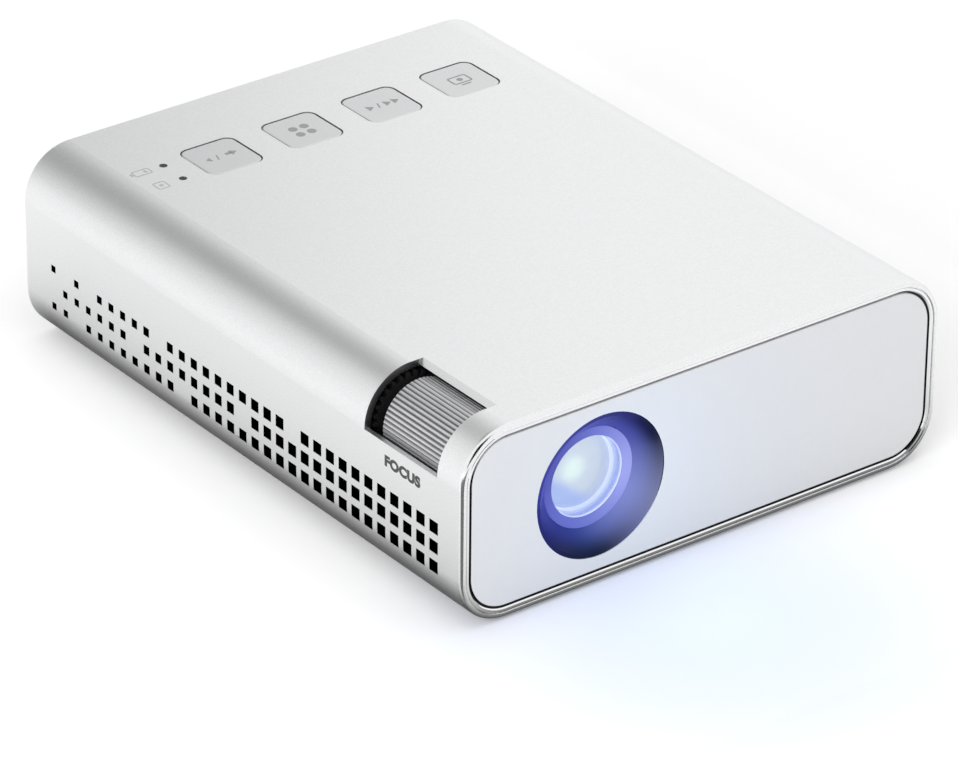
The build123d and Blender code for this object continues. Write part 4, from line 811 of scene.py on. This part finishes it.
def turnProfile(name, outline):
    # starts as one circle, which is drawn on along the outline
    axisX, axisZ = lensAxis()
    frontY = sleeveLow.y
    radius, depth = outline[0]
    pickNone()
    bpy.ops.mesh.primitive_circle_add(vertices=frontOptics["sides"], radius=radius * mm,
                                      location=(axisX, frontY + depth * mm, axisZ),
                                      rotation=(math.radians(90), 0, 0))
    piece = bpy.context.object
    piece.name = name
    bakePlace(piece)
    bpy.ops.object.mode_set(mode="EDIT")
    bpy.ops.mesh.select_mode(type="EDGE")
    bpy.ops.mesh.select_all(action="SELECT")
    for nextRadius, nextDepth in outline[1:]:
        step = (0, (nextDepth - depth) * mm, 0)
        bpy.ops.mesh.extrude_region_move(TRANSFORM_OT_translate={"value": step})
        grow = nextRadius / radius
        bpy.ops.transform.resize(value=(grow, 1, grow),
                                 center_override=(axisX, frontY + nextDepth * mm, axisZ))
        radius, depth = nextRadius, nextDepth
    bpy.ops.mesh.select_all(action="DESELECT")
    bpy.ops.mesh.select_non_manifold()
    return piece


def finishTurned(piece, smoothAngle):
    bpy.ops.mesh.select_all(action="SELECT")
    bpy.ops.mesh.normals_make_consistent(inside=False)
    bpy.ops.object.mode_set(mode="OBJECT")
    bpy.ops.object.shade_smooth_by_angle(angle=math.radians(smoothAngle))
    return piece


def meniscusGlass():
    piece = turnProfile("frontGlass", frontOptics["glass"])
    bpy.ops.mesh.edge_face_add()
    return finishTurned(piece, frontOptics["smoothAngle"])


def hollowRing(name, front, back, smoothAngle):
    piece = turnProfile(name, front + back)
    bpy.ops.mesh.bridge_edge_loops()
    return finishTurned(piece, smoothAngle)


def litWall():
    thick = frontOptics["wallThick"]
    front = frontOptics["wall"]
    back = tuple((radius + thick, depth + thick) for radius, depth in reversed(front[1:]))
    return hollowRing("lensWall", front, back, frontOptics["wallSmoothAngle"])


frontGlass = meniscusGlass()
finishPiece(frontGlass, "lens_group", finishes["lens_glass"])
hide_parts("front_lens")

ringLook = {
    "base": (0.03, 0.035, 0.14), "spread": 0.1, "roughness": (0.25, 0.35), "cloudScale": 150,
    "specular": 0.2, "strength": 0.95,
    # lamplight round from the left side
    "around": ((0.0, (0.07, 0.085, 0.38)), (0.12, (0.10, 0.125, 0.47)), (0.25, (0.10, 0.135, 0.46)),
               (0.38, (0.27, 0.30, 0.68)), (0.48, (0.36, 0.39, 0.78)), (0.60, (0.24, 0.27, 0.64)),
               (0.74, (0.11, 0.13, 0.48)), (0.88, (0.05, 0.055, 0.30)), (1.0, (0.07, 0.085, 0.38))),
}


def ringViolet():
    material, tree, shader = newMaterial("ringViolet")
    around = colourRamp(tree, lensTurn(tree), ringLook["around"], "B_SPLINE")
    tree.links.new(around, shader.inputs["Emission Color"])
    shader.inputs["Emission Strength"].default_value = ringLook["strength"]
    cloudedShader(tree, shader, ringLook)
    shader.inputs["Specular IOR Level"].default_value = ringLook["specular"]
    return material


holdingRing = hollowRing("holdingRing", frontOptics["ring"], frontOptics["ringBack"],
                         frontOptics["smoothAngle"])
finishPiece(holdingRing, "lens_group", ringViolet())

wallLook = {
    "base": (0.20, 0.24, 0.40), "spread": 0.1, "roughness": (0.2, 0.3), "cloudScale": 400, "strength": 0.8,
    # painted lamplight, pale blue by radius, with a thin painted highlight at the front edge and a brighter
    # back
    "backRadius": 7.95,
    "frontRadius": 9.0,
    "shades": ((0.0, (0.76, 0.84, 1.0)), (0.16, (0.70, 0.78, 0.98)), (0.22, (0.50, 0.60, 0.84)),
               (0.55, (0.47, 0.57, 0.83)), (0.66, (0.34, 0.41, 0.80)), (0.9, (0.33, 0.40, 0.80)),
               (1.0, (0.64, 0.72, 1.0))),
}


def wallGlow():
    material, tree, shader = newMaterial("wallGlow")
    forward = lensRadius(tree, wallLook["backRadius"], wallLook["frontRadius"])
    tree.links.new(colourRamp(tree, forward, wallLook["shades"]), shader.inputs["Emission Color"])
    shader.inputs["Emission Strength"].default_value = wallLook["strength"]
    cloudedShader(tree, shader, wallLook)
    return material


finishPiece(litWall(), "lens_group", wallGlow())

# the lit element at the back of the wall: brightest near its middle, bluer low on the left
lampDisc = {
    "segments": 64,
    "rings": 32,
    "radius": 8.05,
    "depth": 8.62,
    "bulge": 0.55,
    "spot": (-1.0, 0.7),
    "shades": ((0.0, (0.80, 0.96, 0.80)), (0.20, (0.74, 0.88, 0.78)), (0.42, (0.56, 0.63, 0.67)),
               (0.75, (0.50, 0.57, 0.64)), (1.0, (0.40, 0.47, 0.66))),
    "blueWay": (-0.6, -0.8, 0),
    "blueFrom": 2.4,
    "blueTo": 5.0,
    "blue": (0.29, 0.39, 0.74, 1),
    "strength": 0.85,
    "base": (0.22, 0.25, 0.30), "spread": 0.10, "roughness": (0.05, 0.12),
    "cloudScale": 160, "cloudDetail": 2.0,
}


def brightDisc():
    axisX, axisZ = lensAxis()
    pickNone()
    bpy.ops.mesh.primitive_uv_sphere_add(segments=lampDisc["segments"], ring_count=lampDisc["rings"],
                                         radius=lampDisc["radius"] * mm,
                                         location=(axisX, sleeveLow.y + lampDisc["depth"] * mm, axisZ),
                                         rotation=(math.radians(90), 0, 0))
    disc = bpy.context.object
    disc.scale = (1, 1, lampDisc["bulge"] / lampDisc["radius"])
    bakePlace(disc)
    disc.name = "brightDisc"
    bpy.ops.object.shade_smooth()
    return disc


def discGlow():
    material, tree, shader = newMaterial("discGlow")
    flat = aboutLensAxis(tree)
    spotX, spotZ = lampDisc["spot"]
    fromSpot = addVectorMath(tree, "DISTANCE", flat, (spotX * mm, spotZ * mm, 0))
    shade = colourRamp(tree, mapRange(tree, fromSpot, 0.0, lampDisc["radius"] * mm), lampDisc["shades"])
    along = addVectorMath(tree, "DOT_PRODUCT", flat, lampDisc["blueWay"])
    blueShare = mapRange(tree, along, lampDisc["blueFrom"] * mm, lampDisc["blueTo"] * mm, smooth="SMOOTHSTEP")
    glow = mixColour(tree, blueShare, shade, lampDisc["blue"])
    tree.links.new(glow, shader.inputs["Emission Color"])
    shader.inputs["Emission Strength"].default_value = lampDisc["strength"]
    cloudedShader(tree, shader, lampDisc)
    return material


finishPiece(brightDisc(), "lens_group", discGlow())
print("lens dressed")

# floor, world and lamps
studio = {
    "floorSize": 8.0,
    "floorColour": (0.93, 0.93, 0.93, 1),
    "floorRoughness": 0.7,
    "floorSpecular": 0.2,
    "floorLift": 0.12,
    "mirroredLift": 0.06,
    "worldAmbient": 0.72,
}
# a faint blue pool of the lens's light, painted into the floor's colour in front
lensPool = {"place": (-0.018, -0.105, 0), "near": 0.01, "far": 0.08, "colour": (0.70, 0.75, 0.90, 1)}


def lightPath(tree, kind):
    return tree.nodes.new("ShaderNodeLightPath").outputs["Is " + kind + " Ray"]


def layFloor():
    pickNone()
    bpy.ops.mesh.primitive_plane_add(size=studio["floorSize"], location=(0, 0, 0))
    floor = bpy.context.object
    floor.name = "studioFloor"
    material, tree, shader = newMaterial("studioFloor")
    # the lens's blue pool of light is painted into the floor's colour, fading with distance
    reach = addVectorMath(tree, "DISTANCE", objectPlace(tree), lensPool["place"])
    fade = mapRange(tree, reach, lensPool["near"], lensPool["far"], smooth="SMOOTHSTEP")
    paintedPool = mixColour(tree, fade, lensPool["colour"], studio["floorColour"])
    tree.links.new(paintedPool, shader.inputs["Base Color"])
    shader.inputs["Roughness"].default_value = studio["floorRoughness"]
    shader.inputs["Specular IOR Level"].default_value = studio["floorSpecular"]
    # a little light of its own, less where it is mirrored or seen through the glass
    mirrored = addMath(tree, "MAXIMUM", lightPath(tree, "Glossy"), lightPath(tree, "Transmission"))
    faint = addMath(tree, "MULTIPLY", mirrored, studio["mirroredLift"])
    lift = addMath(tree, "MULTIPLY_ADD", lightPath(tree, "Camera"), studio["floorLift"], faint)
    shader.inputs["Emission Color"].default_value = (1, 1, 1, 1)
    tree.links.new(lift, shader.inputs["Emission Strength"])
    floor.data.materials.append(material)


def lightWorld():
    # white to the camera, in the metal and through the glass, and dimmer as a lamp
    world = bpy.data.worlds.new("studioWorld")
    bpy.context.scene.world = world
    world.use_nodes = True
    tree = world.node_tree
    sky = tree.nodes["Background"]
    seen = addMath(tree, "MAXIMUM", lightPath(tree, "Camera"), lightPath(tree, "Glossy"))
    seen = addMath(tree, "MAXIMUM", seen, lightPath(tree, "Transmission"))
    sky.inputs["Color"].default_value = (1, 1, 1, 1)
    tree.links.new(mapRange(tree, seen, 0.0, 1.0, studio["worldAmbient"], 1.0), sky.inputs["Strength"])


softLamps = [
    {"name": "topSoftbox", "place": (-0.10, -0.25, 1.4), "aim": (0, 0, 0), "size": 1.4, "power": 3.0},
    {"name": "leftSoftbox", "place": (-1.3, -0.7, 0.75), "aim": (0, 0, 0), "size": 1.0, "power": 14.0},
]
# the faint blue light that the lens throws on the panel
lensLight = {"place": (-0.018, -0.100, 0.024), "radius": 0.012, "power": 0.006, "colour": (0.25, 0.55, 1.0)}
# grey cards that only reflections show, as a photographer stands them round a shiny object, and a card with a
# painted shadow round the object's foot
rearCard = {
    "place": (-0.025, 0.36, 0.40), "size": (0.90, 0.60), "turn": (90, 0, 0),
    # shade from the card's left end to its right end
    "shades": ((0.0, 1.0), (0.20, 0.74), (0.32, 0.36), (0.42, 0.33), (0.55, 0.47), (0.70, 0.73),
               (0.84, 1.0), (1.0, 1.0)),
}
cameraCard = {"place": (-0.40, -0.74, 0.52), "size": (0.80, 0.80), "shade": 0.02}
leftCard = {"place": (-0.161, -0.191, 0.0004), "size": (0.198, 0.218), "shade": 0.16}
footShadowCard = {
    "height": 0.25 * mm, "reach": 60 * mm,
    # painted contact shadow: shade by the distance outside the object's footprint, from under its edge
    # outwards
    "inside": -12 * mm, "outside": 50 * mm,
    "shades": ((0.0, 0.06), (0.18, 0.10), (0.26, 0.31), (0.38, 0.66), (0.55, 0.86), (1.0, 1.0)),
}


def cardBoard(name, place, size, turn=(0, 0, 0)):
    pickNone()
    bpy.ops.mesh.primitive_plane_add(size=1, location=place,
                                     rotation=[math.radians(angle) for angle in turn])
    board = bpy.context.object
    board.name = name
    board.scale = (size[0], size[1], 1)
    material, tree, shader = newMaterial(name)
    shader.inputs["Roughness"].default_value = 1.0
    shader.inputs["Specular IOR Level"].default_value = 0.0
    board.data.materials.append(material)
    board.visible_camera = False
    board.visible_diffuse = False
    board.visible_shadow = False
    board.visible_transmission = False
    return board, tree, shader


def cardGlow(tree, shader, value, shades):
    # lit evenly by itself, so that its shades don't hang on the lamps
    stops = [(position, (shade, shade, shade)) for position, shade in shades]
    shader.inputs["Base Color"].default_value = (0, 0, 0, 1)
    tree.links.new(colourRamp(tree, value, stops), shader.inputs["Emission Color"])
    shader.inputs["Emission Strength"].default_value = 1.0


def standRearCard():
    board, tree, shader = cardBoard("rearCard", rearCard["place"], rearCard["size"], rearCard["turn"])
    x, y, z = splitAxes(tree, tree.nodes.new("ShaderNodeTexCoord").outputs["UV"])
    cardGlow(tree, shader, x, rearCard["shades"])


def plainCard(name, card, turn=(0, 0, 0)):
    board, tree, shader = cardBoard(name, card["place"], card["size"], turn)
    shade = card["shade"]
    shader.inputs["Base Color"].default_value = (shade, shade, shade, 1)


def standCameraCard():
    # faces the object
    turn = Vector(cameraCard["place"]).to_track_quat("Z", "Y").to_euler()
    plainCard("cameraCard", cameraCard, [math.degrees(angle) for angle in turn])


def layFootShadowCard():
    # a painted contact shadow round the object's footprint, which only the reflections show
    half = (Vector(cadBox[1]) - Vector(cadBox[0])) / 2
    reach = footShadowCard["reach"]
    board, tree, shader = cardBoard("footShadowCard", (0, 0, footShadowCard["height"]),
                                    (2 * (half.x + reach), 2 * (half.y + reach)))
    bakePlace(board)
    fromMiddle = addVectorMath(tree, "ABSOLUTE", objectPlace(tree))
    x, y, z = splitAxes(tree, addVectorMath(tree, "SUBTRACT", fromMiddle, (half.x, half.y, 0)))
    outward = mapRange(tree, addMath(tree, "MAXIMUM", x, y), footShadowCard["inside"], footShadowCard["outside"])
    cardGlow(tree, shader, outward, footShadowCard["shades"])


def addLamp(lamp):
    # the metal mirrors the cards and the world, and not the lamps
    bpy.ops.object.light_add(type="AREA", location=lamp["place"])
    light = bpy.context.object
    light.name = lamp["name"]
    light.data.size = lamp["size"]
    light.data.energy = lamp["power"]
    way = Vector(lamp["aim"]) - Vector(lamp["place"])
    light.rotation_euler = way.to_track_quat("-Z", "Y").to_euler()
    light.visible_glossy = False


def addLensLight():
    bpy.ops.object.light_add(type="POINT", location=lensLight["place"])
    light = bpy.context.object
    light.name = "lensLight"
    light.data.shadow_soft_size = lensLight["radius"]
    light.data.energy = lensLight["power"]
    light.data.color = lensLight["colour"]
    light.visible_camera = False
    light.visible_glossy = False
    light.visible_transmission = False


layFloor()
lightWorld()
addLensLight()
for lamp in softLamps:
    addLamp(lamp)
standRearCard()
standCameraCard()
plainCard("leftCard", leftCard)
layFootShadowCard()
bpy.context.scene.view_settings.view_transform = "Standard"
print("studio lit")
